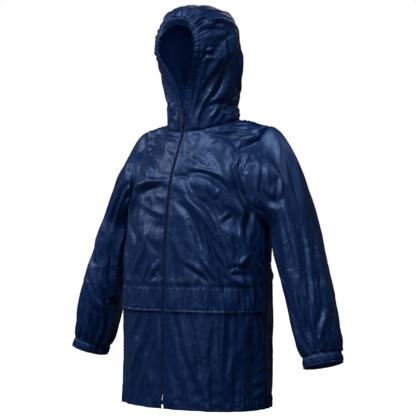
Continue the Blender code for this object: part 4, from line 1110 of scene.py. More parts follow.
def seam_roll(shell, edge, seed, depth=1.0, puckers=1.0):
    """Sink a sewn edge into its seam and pucker the cloth beside it, evenly or by a grid."""
    upright, place_of = edge in ("first", "last"), 0 if edge in ("bottom", "first") else -1
    line = shell.grid[:, place_of] if upright else shell.grid[place_of]
    away = np.linalg.norm(shell.grid - (line[:, None] if upright else line[None]), axis=2) / MM
    steps = np.linalg.norm(np.diff(line, axis=0), axis=1)
    along = np.concatenate([[0], np.cumsum(steps)]) / MM
    along = np.broadcast_to(along[:, None] if upright else along[None, :], away.shape)
    roll = -depth * sizes().seam_depth / MM * mound(away, SEAM_REACH)
    ridges = puckers * sizes().pucker_depth / MM * pucker(along, away, seed)
    shell.raise_by(roll + ridges * (1 - mound(away, RIDGE_GAP)))


def new_object(name, data):
    obj = bpy.data.objects.new(name, data)
    bpy.context.scene.collection.objects.link(obj)
    return obj


def evaluated_mesh(obj, name):
    """A plain mesh of what an object's modifiers or curve make, in the object's place."""
    graph = bpy.context.evaluated_depsgraph_get()
    mesh = bpy.data.meshes.new_from_object(obj.evaluated_get(graph))
    bpy.data.objects.remove(obj)
    mesh.name = name
    mesh.shade_smooth()
    return mesh


def make_piece(name, shell, finish, thickness, turned=()):
    """Mesh of a shell. Each turned edge gets a narrow strip folded in behind the piece. Where the
    share after its depth is 1, it runs on behind the next piece instead."""
    sides = [shell.grid, shell.x, shell.y, -shell.normals]
    for edge, depth, *share in turned:
        upright, ends = edge in ("first", "last"), edge in ("top", "last")
        if upright:
            sides = [a.swapaxes(0, 1) for a in sides]
        grid, x, y, inward = (a[::-1] for a in sides) if ends else sides
        into = unit(grid[1] - grid[0])
        lap = np.reshape(share or 0.0, (-1, 1))
        behind = inward[0] * (depth + (LAP_STEP - depth) * lap)
        strip = [grid[0] + behind + into * (0.4 * depth * (1 - lap))]
        if share:
            beyond = into * (MM - (LAP + MM) * lap)
            strip.insert(0, strip[0] + inward[0] * 0.0006 + beyond)
        sides = [np.concatenate([strip, grid])]
        sides += [np.concatenate([[a[0]] * len(strip), a]) for a in (x, y, inward)]
        if ends:
            sides = [a[::-1] for a in sides]
        if upright:
            sides = [a.swapaxes(0, 1) for a in sides]
    grid, x, y, _ = sides
    rows, cols = grid.shape[:2]
    wide = cols if shell.closed else cols - 1
    r, c = np.meshgrid(np.arange(rows - 1), np.arange(wide), indexing="ij")
    low, high, beside = r * cols, (r + 1) * cols, (c + 1) % cols
    quads = np.stack([low + c, low + beside, high + beside, high + c], -1).reshape(-1, 4)
    mesh = bpy.data.meshes.new(name)
    mesh.from_pydata(grid.reshape(-1, 3).tolist(), [], quads.tolist())
    mesh.update()
    plan = np.stack([x, y], -1).reshape(-1, 2) * MM
    layer = mesh.uv_layers.new(name="plan")
    layer.data.foreach_set("uv", plan[quads.reshape(-1)].astype(np.float32).reshape(-1))
    mesh.shade_smooth()
    mesh.materials.append(material(finish))
    # The inner walls get the inside finish. Its colour is paler than the navy to stand in for light
    # reaching the insides: painted light.
    mesh.materials.append(material("nylon_inside"))
    obj = new_object(name, mesh)
    wall = obj.modifiers.new("cloth thickness", "SOLIDIFY")
    wall.material_offset = 1
    wall.thickness = thickness
    wall.offset = -1.0
    wall.use_even_offset = False
    return obj


def place(obj, body, slot, *nodes):
    """Say which body a piece rides on and hide the nodes it stands for. The slot, what it is made
    of, is not used.
    """
    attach(obj, body)
    if nodes:
        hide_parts(*nodes)


def finish_cloth(shell, turned, finish="nylon", slot="coated_nylon", thickness=None, **cut):
    """Make a cut piece from its shell and keep its shell. What it was cut from is not used."""
    SHELLS[shell.name] = shell
    thickness = thickness or sizes().cloth_thickness
    obj = make_piece(shell.name + "_cloth", shell, finish, thickness, turned)
    place(obj, COAT, slot, shell.name)


# ---- materials

FLOAT, COLOUR, VECTOR = "NodeSocketFloat", "NodeSocketColor", "NodeSocketVector"
GEOMETRY, MATERIAL = "NodeSocketGeometry", "NodeSocketMaterial"
GROUPS = {}
MATERIALS = {}


def node_group(name, kind, inputs, outputs):
    """A new node group, what it is given by name, and its output node."""
    group = bpy.data.node_groups.new(name, kind)
    for label, socket_kind, value in inputs:
        socket = group.interface.new_socket(label, in_out="INPUT", socket_type=socket_kind)
        if value is not None:
            socket.default_value = value
    for label, socket_kind in outputs:
        group.interface.new_socket(label, in_out="OUTPUT", socket_type=socket_kind)
    given, made = (group.nodes.new("NodeGroup" + end) for end in ("Input", "Output"))
    return group, given.outputs, made


def feed(node, inputs):
    """Give a node's inputs a number or colour, or a link from a socket or a node's first output."""
    for key, value in inputs.items():
        if isinstance(value, bpy.types.Node):
            value = value.outputs[0]
        if isinstance(value, bpy.types.NodeSocket):
            node.id_data.links.new(value, node.inputs[key])
        else:
            node.inputs[key].default_value = value


def add_node(tree, kind, inputs=None, **settings):
    """A node with its settings and what feeds it."""
    node = tree.nodes.new(kind)
    for key, value in settings.items():
        setattr(node, key, value)
    feed(node, inputs or {})
    return node


def maths(tree, operation, *inputs):
    return add_node(tree, "ShaderNodeMath", dict(enumerate(inputs)), operation=operation)


def noise(tree, where, scale, detail, inputs=None, **settings):
    given = {"Vector": where, "Scale": scale, "Detail": detail, **(inputs or {})}
    return add_node(tree, "ShaderNodeTexNoise", given, **settings)


def map_range(tree, value, low, high, start=0.0, end=1.0):
    """A value from start to end carried over to low to high."""
    ends = {"From Min": start, "From Max": end, "To Min": low, "To Max": high}
    return add_node(tree, "ShaderNodeMapRange", {"Value": value, **ends})


def bump(tree, height, strength, distance, **more):
    given = {"Height": height, "Strength": strength, "Distance": distance, **more}
    return add_node(tree, "ShaderNodeBump", given)


def weave_group():
    """Height of a plain weave, from a plan in metres."""
    group, given, made = node_group(
        "plain_weave",
        "ShaderNodeTree",
        (("Plan", VECTOR, None), ("Threads per metre", FLOAT, 3200.0), ("Unevenness", FLOAT, 0.3)),
        (("Height", FLOAT), ("Thread tone", FLOAT)),
    )
    threads = {0: given["Plan"], "Scale": given["Threads per metre"]}
    scaled = add_node(group, "ShaderNodeVectorMath", threads, operation="SCALE")
    split = add_node(group, "ShaderNodeSeparateXYZ", {0: scaled})
    turns = [maths(group, "MULTIPLY", split.outputs[axis], math.pi) for axis in ("X", "Y")]
    cross = maths(group, "MULTIPLY", *[maths(group, "SINE", turn) for turn in turns])
    uneven = noise(group, scaled, 0.35, 2.0)
    tone = maths(group, "MULTIPLY_ADD", uneven, given["Unevenness"], cross)
    feed(made, {"Height": tone, "Thread tone": uneven})
    return group


def bloom_group():
    """Faint cloudy tone of a coating and light scuffs along raised folds."""
    base, bloom = (0.01, 0.02, 0.08, 1), (0.03, 0.05, 0.13, 1)
    group, given, made = node_group(
        "coating_bloom",
        "ShaderNodeTree",
        (("Base", COLOUR, base), ("Bloom", COLOUR, bloom), ("Amount", FLOAT, 0.35)),
        (("Colour", COLOUR), ("Scuff", FLOAT)),
    )
    where = add_node(group, "ShaderNodeTexCoord")
    clouds = noise(group, where.outputs["Object"], 14.0, 4.0, {"Roughness": 0.6})
    edge = add_node(group, "ShaderNodeNewGeometry")
    raised = map_range(group, edge.outputs["Pointiness"], 0.0, 0.6, 0.52, 0.62)
    share = maths(group, "MULTIPLY", maths(group, "ADD", clouds, raised), given["Amount"])
    tones = {0: share, 6: given["Base"], 7: given["Bloom"]}
    mix = add_node(group, "ShaderNodeMix", tones, data_type="RGBA")
    feed(made, {"Colour": mix.outputs[2], "Scuff": raised})
    return group


def creping_group():
    """Height of the fine crackle that a stiff coating keeps after it has been folded away."""
    group, given, made = node_group(
        "fine_creping",
        "ShaderNodeTree",
        (("Plan", VECTOR, None), ("Scale", FLOAT, 52.0)),
        (("Height", FLOAT),),
    )
    plan, scale = given["Plan"], given["Scale"]
    rough = {"Roughness": 0.55, "Distortion": 0.5}
    ridges = noise(group, plan, scale, 3.0, rough, noise_type="RIDGED_MULTIFRACTAL")
    dimples = {"Vector": plan, "Scale": scale, "Randomness": 1.0}
    cells = add_node(group, "ShaderNodeTexVoronoi", dimples, feature="SMOOTH_F1")
    feed(made, {"Height": maths(group, "ADD", cells, ridges)})
    return group


def use_group(tree, build, inputs):
    """The group that build makes once, placed in a tree with its own values."""
    if build not in GROUPS:
        GROUPS[build] = build()
    return add_node(tree, "ShaderNodeGroup", inputs, node_tree=GROUPS[build])


def new_material(name):
    finish = bpy.data.materials.new(name)
    finish.use_nodes = True
    return finish, finish.node_tree, finish.node_tree.nodes["Principled BSDF"]


def nylon_material(name, colours, base):
    """Coated nylon: dark dyed cloth under a thin glossy film, with its weave just showing."""
    finish, tree, shader = new_material(name)
    plan = add_node(tree, "ShaderNodeUVMap", uv_map="plan")
    weave = use_group(tree, weave_group, {"Plan": plan})
    tones = {"Base": (*base, 1), "Bloom": (*colours.bloom, 1)}
    bloom = use_group(tree, bloom_group, tones)
    creping = use_group(tree, creping_group, {"Plan": plan})
    low, high = colours.roughness - 0.05, colours.roughness + 0.07
    crackle = bump(tree, creping, 1.0, 0.0014)
    feed(
        shader,
        {
            "Specular IOR Level": colours.gloss,
            "Specular Tint": (*colours.shine, 1),
            "Coat Roughness": 0.3,
            "Coat IOR": 1.4,
            "Sheen Weight": 0.04,
            "Sheen Roughness": 0.5,
            "Sheen Tint": (*colours.shine, 1),
            "Base Color": bloom,
            "Roughness": map_range(tree, weave.outputs["Thread tone"], low, high),
            "Coat Weight": map_range(tree, bloom.outputs["Scuff"], 0.05, 0.01, end=0.6),
            "Normal": bump(tree, weave, 0.25, 0.00008, Normal=crackle),
        },
    )
    return finish


def plain_material(name, colour, roughness, grain, depth=0.00005, coat=0.0):
    """Tape, thread, plastic and enamel: a colour with uneven tone and a fine grain."""
    finish, tree, shader = new_material(name)
    where = add_node(tree, "ShaderNodeTexCoord")
    grains = noise(tree, where.outputs["Object"], grain, 3.0)
    paler = [min(1.0, c * 1.8 + 0.004) for c in colour]
    tones = {"Base": (*colour, 1), "Bloom": (*paler, 1)}
    feed(
        shader,
        {
            "Coat Weight": coat,
            "Specular IOR Level": 0.3,
            "Specular Tint": (*bpy.context.scene.coat_colours.shine, 1),
            "Base Color": use_group(tree, bloom_group, tones),
            "Roughness": map_range(tree, grains, roughness - 0.08, roughness + 0.08),
            "Normal": bump(tree, grains, 0.5, depth),
        },
    )
    return finish


def material(name):
    """The finish of that name, made once from the colours of the panel."""
    if name not in MATERIALS:
        c = bpy.context.scene.coat_colours
        build, *values = {
            "nylon": (nylon_material, "coated_navy_nylon", c, c.navy),
            # The inside finish takes the pale inside colour, which is painted light on the inner
            # walls.
            "nylon_inside": (nylon_material, "coated_navy_nylon_inside", c, c.inside),
            "tape": (plain_material, "woven_zip_tape", c.tape, 0.85, 2500, 0.0002),
            "thread": (plain_material, "polyester_thread", c.thread, 0.6, 4000),
            "coil": (plain_material, "moulded_zip_coil", c.coil, 0.35, 1500),
            "enamel": (plain_material, "enamelled_metal", c.metal, 0.40, 1200, 0.00005, 0.05),
        }[name]
        MATERIALS[name] = build(*values)
    return MATERIALS[name]


# ---- the maker's settings


def length_prop(name, description, default, low=0.0001):
    limits = {"min": low, "unit": "LENGTH", "precision": 5}
    return bpy.props.FloatProperty(name=name, description=description, default=default, **limits)


def share_prop(name, description, default, high=2.0, low=0.0):
    limits = {"min": low, "max": high}
    return bpy.props.FloatProperty(name=name, description=description, default=default, **limits)


def colour_prop(name, description, *default):
    limits = {"min": 0, "max": 1, "subtype": "COLOR"}
    return bpy.props.FloatVectorProperty(
        name=name, description=description, default=default, **limits
    )


class CoatSizes(bpy.types.PropertyGroup):
    """Sizes of the cloth and its trims."""

    cloth_thickness: length_prop("Cloth thickness", "Thickness of the nylon", 0.0004)
    crease_depth: share_prop("Crease depth", "Share of each crease's own depth", 1.0)
    crumple_depth: share_prop(
        "Crumple depth", "Share of the dents and facets between the creases", 1.0
    )
    spare_length: share_prop(
        "Spare length", "Share of spare cloth that buckles into small folds", 0.045, 0.1
    )
    seam_depth: length_prop("Seam depth", "How far a sewn edge sinks", 0.0009, 0.0)
    pucker_depth: length_prop("Pucker depth", "Height of the puckers beside a seam", 0.0016, 0.0)
    cells: bpy.props.IntProperty(
        name="Cells",
        description="Fine steps across each step of a piece's plan",
        default=8,
        min=2,
        max=9,
    )
    stitch: length_prop("Stitch length", "Pitch of the topstitching", 0.0028, 0.001)
    thread: length_prop("Thread", "Thickness of the thread", 0.00035)
    tooth: length_prop("Tooth pitch", "Pitch of the zip's coil", 0.00135, 0.001)


class CoatColours(bpy.types.PropertyGroup):
    """Colours of the cloth and its trims."""

    navy: colour_prop("Navy", "The dyed cloth", 0.0004, 0.0090, 0.054)
    # Much paler than the navy, so the coat's and hood's insides look lit though little light
    # reaches them: painted light.
    inside: colour_prop("Inside", "The wrong side of the cloth", 0.034, 0.14, 0.52)
    bloom: colour_prop("Bloom", "Milky tone of the coating", 0.0020, 0.0175, 0.082)
    tape: colour_prop("Tape", "Zip tape", 0.004, 0.009, 0.036)
    thread: colour_prop("Thread", "Sewing thread", 0.002, 0.006, 0.030)
    coil: colour_prop("Coil", "Zip coil and foot box", 0.004, 0.010, 0.038)
    metal: colour_prop("Metal", "Slider and pull tab", 0.012, 0.018, 0.045)
    shine: colour_prop("Shine", "Tint of the nylon's gloss", 0.30, 0.52, 1.0)
    floor: colour_prop("Floor", "Studio floor", 0.9, 0.9, 0.9)
    roughness: share_prop("Roughness", "Roughness of the nylon", 0.38, 1, 0.05)
    gloss: share_prop("Gloss", "Strength of the nylon's gloss", 0.5, 1)


# ---- operators


def soft_end(gap):
    """How strongly a seam rolls at a distance in mm from the shoulder tip, where it eases out."""
    return 0.2 + 0.5 * ease(gap / TIP_REACH)


def seam_fade(shell):
    """0 at the side seam of a body piece and 1 from 15 mm in, for what the next piece lacks."""
    return ease((QUARTER_GIRTH - np.abs(shell.x)) / 15.0)


def hem_band(shell, seed):
    """The turned hem stands a little proud, and its stitched line puckers."""
    away = np.abs(shell.y - HEM_HEIGHT)
    band = 0.5 * ease((HEM_HEIGHT + 1.5 - shell.y) / 3.0) - 0.6 * mound(away, 2.2)
    puckers = 2.4 * sizes().pucker_depth / MM * pucker(shell.x, away, seed + 9, reach=13)
    shell.raise_by((band + puckers) * seam_fade(shell))


def waist_seam(shell, seed):
    """The seam that holds the flap pinches the front, which hangs over it a little."""
    above = shell.y - (FLAP_TOP_Z - HEM_Z) / MM
    away = np.abs(above)
    hang = 2.0 * mound(above - 10, 7.0) * share_noise(shell.x / 40, above / 90, seed + 21)
    puckers = 0.8 * sizes().pucker_depth / MM * pucker(shell.x, away, seed + 5)
    shell.raise_by((hang - 0.9 * mound(away, 3.5) + puckers) * seam_fade(shell))


class COAT_OT_body(bpy.types.Operator):
    """Two fronts and the back, from hem to neck, with their folds and creases"""

    bl_idname = "coat.body"
    bl_label = "Fronts and Back"

    def execute(self, context):
        for (side, sign, middle, outer), seed in zip(SIDES, FRONT_SEEDS):
            shell = half_body("front_" + side, True).worn(sign)
            shell.shape(armhole_shaped(shell.grid, sign))
            relief(shell, seed, (outer, "top", middle))
            tip = soft_end(LOWER_HEIGHT + YOKE_HEIGHT - shell.y)
            seam_roll(shell, outer, seed + 3, tip, tip + 0.3)
            seam_roll(shell, "top", seed + 3, 0.5)
            hem_band(shell, seed)
            waist_seam(shell, seed)
            turned = [(outer, TURN_IN), ("top", TURN_IN), (middle, ZIP_TURN), ("bottom", HEM_FOLD)]
            finish_cloth(shell, turned, flat=(0.29, 0.66), held="draped", rests_on=[], area=0.157)
        left = half_body("back", False)
        right = left.worn(-1)
        grid, x, y = (
            np.concatenate([ours[:, ::-1], theirs[:, ::-1][:, 1:]], axis=1)
            for ours, theirs in ((left.grid, right.grid), (left.x, -right.x), (left.y, right.y))
        )
        shell = Shell("back", armhole_shaped(armhole_shaped(grid, 1), -1), x, y)
        relief(shell, BACK_SEED, ("first", "last", "top"))
        for edge in ("first", "last", "top"):
            seam_roll(shell, edge, BACK_SEED + 4)
        hem_band(shell, BACK_SEED + 6)
        # under the fronts at the side seams and shoulders, and turned in at the armholes and neck
        beside = ease((LOWER_HEIGHT - 2 - shell.y[:, 0]) / 8.0)
        over = ease((np.abs(shell.x[-1]) / QUARTER_GIRTH - NECK_SHARE - 0.02) / 0.03)
        turned = [("first", TURN_IN, beside), ("last", TURN_IN, beside)]
        turned += [("top", TURN_IN, np.pad(over, 2, "edge")), ("bottom", HEM_FOLD)]
        finish_cloth(shell, turned, flat=(0.52, 0.66), held="draped", rests_on=[], area=0.315)
        return {"FINISHED"}


class COAT_OT_sleeves(bpy.types.Operator):
    """Two set-in sleeves, gathered into the cuff at the wrist"""

    bl_idname = "coat.sleeves"
    bl_label = "Sleeves"

    def execute(self, context):
        n = sizes().cells
        s = np.linspace(0, 1, 2 * YOKE_ROWS * n + 1)[:-1]
        s, w = np.meshgrid(s[::-1], spread(n, two_parts(CAP_ROWS, ARM_ROWS))[::-1])
        y = np.where(w <= 1, w * CAP_HEIGHT, CAP_HEIGHT + (w - 1) * ARM_HEIGHT)
        above = (CAP_HEIGHT + ARM_HEIGHT) - y
        for (side, sign, *_), seed in zip(SIDES, SLEEVE_SEEDS):
            grid = armhole_shaped(sleeve_point(s, w), 1)
            shell = Shell("sleeve_" + side, grid, s * SLEEVE_ROUND, y, True)
            shell.raise_by(-SLEEVE_SLACK * ease(y / 40) * ease(above / 60))
            shell = shell.worn(sign)
            relief(shell, seed, ("bottom", "top"))
            turn = shell.x / SLEEVE_ROUND
            strength = 0.4 + 1.2 * share_noise(turn * 9, above / 60, seed + 1)
            wave = gathers(turn, CUFF_GATHERS) * strength
            rise = np.exp(-((above / 30.0) ** 1.3)) * ease(above / 6.0)
            shell.raise_by(3.0 * wave * rise)
            tip = soft_end(np.abs(unwrap(shell.x, 0, SLEEVE_ROUND)))
            seam_roll(shell, "top", seed + 3, tip, tip + 0.3)
            seam_roll(shell, "bottom", seed + 3)
            turned = [("bottom", CASING_TURN), ("top", TURN_IN, 1.0)]
            finish_cloth(shell, turned, flat=(0.40, 0.46), held="draped", rests_on=[], area=0.165)
        return {"FINISHED"}


class COAT_OT_cuffs(bpy.types.Operator):
    """Turned wrist casings with elastic in them"""

    bl_idname = "coat.cuffs"
    bl_label = "Cuffs"

    def execute(self, context):
        centre, _, out, back, size = sleeve_frame(np.array(SLEEVE[-1].z))
        run = np.array(CUFF_END) - centre
        s = np.linspace(0, 1, CUFF_COLUMNS, endpoint=False)[::-1]
        s, along = np.meshgrid(s, np.linspace(-0.14, 1, CUFF_ROWS)[::-1])
        t = 2 * np.pi * s
        for (side, sign, *_), seed in zip(SIDES, CUFF_SEEDS):
            elastic = tucks(CUFF_TUCKS * s, along * 0.8, seed)
            wave = 0.5 * gathers(s, CUFF_GATHERS) + 0.8 * elastic
            # two stitched lines hold the elastic, so the casing is pinched along them
            pinch = mound(along - 0.12, 0.07) + mound(along - 0.86, 0.06)
            full = 0.25 + 0.75 * np.maximum(along, 0) ** 0.5
            inside = 1.4 * ease(-along / 0.08)
            grow = (2.5 * wave * full * (along > 0) + 0.8 * arch(along) - 1.0 * pinch - inside) * MM
            grid = (
                centre
                + run * along[..., None]
                + out * ((size[0] + grow) * np.cos(t))[..., None]
                - back * ((size[1] + grow) * np.sin(t))[..., None]
            )
            shell = Shell("cuff_" + side, grid, s * CUFF_ROUND, along * CUFF_DEPTH, True)
            turned = [("top", CASING_TURN), ("bottom", CASING_FOLD)]
            cut = {"flat": (0.40, 0.035), "held": "gathered", "rests_on": []}
            finish_cloth(shell.worn(sign), turned, **cut)
        return {"FINISHED"}


def hood_rises():
    return two_parts(HOOD_SIDE_ROWS, HOOD_TOP_ROWS)


def leaned(grid):
    """The crown sits a little to the wearer's right and has sunk at its front corner."""
    lean = ease((grid[..., 2] - 0.08) / 0.20)
    return dented(grid + points(HOOD_LEAN * lean, 0.0, 0.0), HOOD_DENTS)


class COAT_OT_hood(bpy.types.Operator):
    """Two hood halves joined over the crown, gathered towards the face opening"""

    bl_idname = "coat.hood"
    bl_label = "Hood"

    def execute(self, context):
        n = sizes().cells
        rear_feet = np.linspace(SHOULDER_ANGLE, 180, NECK_COLUMNS + 1)[1:-1]
        feet = np.concatenate([NECK_FRONT_ANGLES[1:], rear_feet])
        foot, rise = np.meshgrid(spread(n, feet), spread(n, hood_rises()))
        front = NECK_FRONT_ANGLES[0]
        x = (foot - front) / (180 - front) * HOOD_BACK
        for (side, sign, face, rear), seed in zip(SIDES, HOOD_SEEDS):
            shell = Shell("hood_" + side, hood_point(foot, rise), x, rise * HOOD_UP).worn(sign)
            relief(shell, seed, ("bottom", "top", "first", "last"))
            away = np.maximum(shell.x - 12, 0)
            up = shell.y / (2 * HOOD_UP)
            turn = 0.5 * up if sign > 0 else 1 - 0.5 * up
            strength = 0.45 + 0.9 * share_noise(up * 9, away / 60, seed + 1)
            wave = tucks(HOOD_TUCKS * turn, away / 70, TUCK_SEED) * strength
            taut = 0.12 + 0.88 * ease((shell.y - 150) / 60.0)
            near_face = np.exp(-((away / 34.0) ** 1.5)) * ease(away / 4.0)
            shell.raise_by(2.6 * wave * taut * near_face)
            for edge in ("bottom", "top", "first", "last"):
                seam_roll(shell, edge, seed + 3)
            shell.grid = leaned(shell.grid)
            # the rear edge is the last of the neck seam, and its corners hold no lap
            corner = np.arange(len(shell.grid) + 4)
            short = 0.5 * ease((np.minimum(corner, corner[::-1]) - 6) / 8)
            turned = [("bottom", TURN_IN, 1.0), ("top", CROWN_TURN, float(sign > 0))]
            turned += [(rear, CASING_TURN, short), (face, CASING_TURN)]
            finish_cloth(shell, turned, flat=(0.27, 0.38), held="draped", rests_on=[], area=0.084)
        return {"FINISHED"}


class COAT_OT_casing(bpy.types.Operator):
    """The elastic casing round the face opening, drawn up into gathers"""

    bl_idname = "coat.casing"
    bl_label = "Hood Casing"

    def execute(self, context):
        feet = np.linspace(*NECK_FRONT_ANGLES[:2], CASING_COLUMNS)
        foot, rise = np.meshgrid(feet, spread(CASING_CELLS, hood_rises()))
        left = hood_point(foot, rise)
        grid = np.concatenate([left, left[-2::-1] * np.array([-1.0, 1.0, 1.0])])
        turn = np.linspace(0, 1, len(grid))[:, None] + 0 * grid[..., 0]
        across = (foot - feet[0]) / (feet[-1] - feet[0])
        across = np.concatenate([across, across[-2::-1]])
        taut = 0.3 + 0.7 * ease((grid[..., 2] - 0.150) / 0.06)
        wave = tucks(HOOD_TUCKS * turn, across * 0.2, TUCK_SEED)
        profile = (1 - across) ** 0.5 * 0.6 + 0.4 * np.sin(np.pi * across)
        pinch = mound(across - 0.9, 0.09) + 0.5 * mound(across - 0.12, 0.08)
        height = taut * (1.8 * wave * profile + 0.2 * arch(across) - 0.8 * pinch)
        fore = unit(grid[:, :1] - grid[:, -1:])
        ruffle = 1.5 * taut * (1 - across) * tucks(HOOD_TUCKS * turn, 3.7 + across, TUCK_SEED + 6)
        grid = grid + fore * (ruffle * MM)[..., None]
        shell = Shell("hood_casing", grid, across * CASING_DEPTH, turn * CASING_LENGTH)
        shell.raise_by(height)
        for edge in ("bottom", "top"):
            seam_roll(shell, edge, CASING_SEED)
        shell.grid = leaned(shell.grid)
        turned = [("first", CASING_FOLD), ("last", CASING_SEAM)]
        turned += [("bottom", CASING_TURN, 1.0), ("top", CASING_TURN, 1.0)]
        finish_cloth(shell, turned, flat=(0.024, 0.66), held="gathered", rests_on=[])
        return {"FINISHED"}


class COAT_OT_flaps(bpy.types.Operator):
    """The flap across each front, sewn in at the waist"""

    bl_idname = "coat.flaps"
    bl_label = "Pocket Flaps"

    def execute(self, context):
        low, high = ((z - HEM_Z) / MM for z in (FLAP_BOTTOM_Z, FLAP_TOP_Z))
        heights = np.linspace(low, high, FLAP_ROWS)
        for (side, sign, *_), seed in zip(SIDES, FLAP_SEEDS):
            front = SHELLS["front_" + side]
            rows = np.interp(heights, front.y[:, 0], np.arange(len(front.y)))
            last_col = front.grid.shape[1] - 1
            first, last = (int(round(end * last_col)) for end in FLAP_ENDS)
            cols = np.linspace(first, last, 2 * (last - first) + 1)
            if sign < 0:
                cols = last_col - cols[::-1]
            grid = np.array([sample(front, np.full(len(cols), row), cols, 0.0) for row in rows])
            x = np.interp(cols, np.arange(last_col + 1), front.x[0])
            x, y = np.meshgrid(x, heights)
            shell = Shell("pocket_flap_" + side, grid, x, y)
            down = (high - y) / (high - low)
            from_end = x - x.min()
            ends = ease(np.minimum(from_end, np.ptp(x) - from_end) / 25.0)
            lift = 0.2 + (1.7 + 1.4 * ends) * down**0.8 + 0.8 * mound(y - low - 1.5, 2.2)
            sway = 0.6 * ends * cloud(x / 42, down, seed) * down**2
            edge = np.abs(y - low - 6.0)
            seam = -0.5 * mound(edge, 1.8) - 1.1 * mound(high - y, 5.0)
            puckers = 0.35 * pucker(x, high - y, seed + 1) + 0.5 * pucker(x, edge, seed + 2, 8)
            shell.raise_by(lift + sway + seam + sizes().pucker_depth / MM * puckers)
            turned = [(end, FLAP_FOLD) for end in ("bottom", "first", "last")]
            under = [f"front_{side}_cloth"]
            finish_cloth(shell, turned, flat=(0.255, 0.062), held="draped", rests_on=under)
        return {"FINISHED"}


# ---- rows of stitches and teeth


def row_tree(name, segments, rings, pivot):
    """Geometry nodes: small rounded bodies along a line, each turned to run with it."""
    lengths = {"Pitch": 0.003, "Length": 0.002, "Width": 0.0004, "Thickness": 0.0004, "Offset": 0.0}
    tree, given, made = node_group(
        name,
        "GeometryNodeTree",
        [("Line", GEOMETRY, None)]
        + [(label, FLOAT, value) for label, value in lengths.items()]
        + [("Finish", MATERIAL, None)],
        [("Row", GEOMETRY)],
    )

    def node(kind, inputs=None, **settings):
        return add_node(tree, kind, inputs, **settings)

    curve = node("GeometryNodeMeshToCurve", {0: given["Line"]})
    pitch = {"Curve": curve, "Length": given["Pitch"]}
    even = node("GeometryNodeResampleCurve", pitch, mode="LENGTH")
    tangent = {"Vector": node("GeometryNodeInputTangent")}
    turn = node("FunctionNodeAlignRotationToVector", tangent, axis="Z", pivot_axis=pivot)
    round_body = {"Radius": 0.5, "Segments": segments, "Rings": rings}
    ball = node("GeometryNodeMeshUVSphere", round_body)
    sides = {i: given[label] for i, label in enumerate(("Width", "Thickness", "Length"))}
    scale = node("ShaderNodeCombineXYZ", sides)
    shape = node("GeometryNodeTransform", {"Geometry": ball, "Scale": scale})
    shift = node("ShaderNodeCombineXYZ", {0: given["Offset"]})
    moved = node("GeometryNodeSetPosition", {"Geometry": even, "Offset": shift})
    size = node("FunctionNodeRandomValue", {2: 0.86, 3: 1.1, "Seed": 7}, data_type="FLOAT")
    each = {"Points": moved, "Instance": shape, "Rotation": turn, "Scale": size.outputs[1]}
    copies = node("GeometryNodeInstanceOnPoints", each)
    whole = {"Geometry": node("GeometryNodeRealizeInstances", {0: copies})}
    finish = node("GeometryNodeSetMaterial", {**whole, "Material": given["Finish"]})
    feed(made, {0: finish})
    return tree


def run_rows(name, tree, lines, finish, lengths):
    """One plain mesh from the tree run along each line of points."""
    verts, edges = [], []
    for line in lines:
        start = len(verts)
        verts += [tuple(p) for p in line]
        edges += [(start + i, start + i + 1) for i in range(len(line) - 1)]
    mesh = bpy.data.meshes.new(name + "_line")
    mesh.from_pydata(verts, edges, [])
    obj = new_object(name + "_line", mesh)
    rows = obj.modifiers.new("rows", "NODES")
    rows.node_group = tree
    sockets = tree.interface.items_tree
    sockets = {s.name: s.identifier for s in sockets if getattr(s, "in_out", "") == "INPUT"}
    for label, value in {**lengths, "Finish": material(finish)}.items():
        rows[sockets[label]] = value
    return new_object(name, evaluated_mesh(obj, name))


def sample(shell, rows, cols, lift=STITCH_LIFT):
    """Points on a shell at fractional rows and columns, lifted off it."""
    count_r, count_c = shell.grid.shape[:2]
    r = np.clip(rows, 0, count_r - 1)
    c = cols % count_c if shell.closed else np.clip(cols, 0, count_c - 1)
    r0 = np.minimum(r.astype(int), count_r - 2)
    c0 = c.astype(int) if shell.closed else np.minimum(c.astype(int), count_c - 2)
    c1 = (c0 + 1) % count_c
    fr, fc = (r - r0)[:, None], (c - c0)[:, None]

    def mix(a):
        low = a[r0, c0] * (1 - fc) + a[r0, c1] * fc
        high = a[r0 + 1, c0] * (1 - fc) + a[r0 + 1, c1] * fc
        return low * (1 - fr) + high * fr

    return mix(shell.grid) + unit(mix(normals_of(shell.grid, shell.closed))) * lift


def inset_line(shell, edge, inset):
    """A line on a shell that follows an edge at a distance from it, in metres."""
    rows, cols = shell.grid.shape[:2]
    across, ends = edge in ("bottom", "top"), edge in ("top", "last")
    count, deep = (cols, rows) if across else (rows, cols)
    round_it = shell.closed and across
    places = np.linspace(0.0, 1.0, 3 * count) * (count if round_it else count - 1)
    grid = shell.grid if across else shell.grid.transpose(1, 0, 2)
    if ends:
        grid = grid[::-1]
    step = np.linalg.norm(np.diff(grid[:12], axis=0), axis=2)
    depth = np.concatenate([np.zeros((1, step.shape[1])), np.cumsum(step, axis=0)])
    at = np.array([np.interp(inset, column, np.arange(len(column))) for column in depth.T])
    if round_it:
        at = np.append(at, at[0])
    at = np.interp(places, np.arange(len(at)), at)
    if ends:
        at = deep - 1 - at
    return sample(shell, at, places) if across else sample(shell, places, at)


def hem_line(shell):
    """The hem's stitched line."""
    rows, cols = shell.grid.shape[:2]
    row = np.interp(HEM_HEIGHT, shell.y[:, cols // 2], np.arange(rows))
    places = np.linspace(0.0, 1.0, 3 * cols) * (cols - 1)
    return sample(shell, np.full(len(places), row), places)


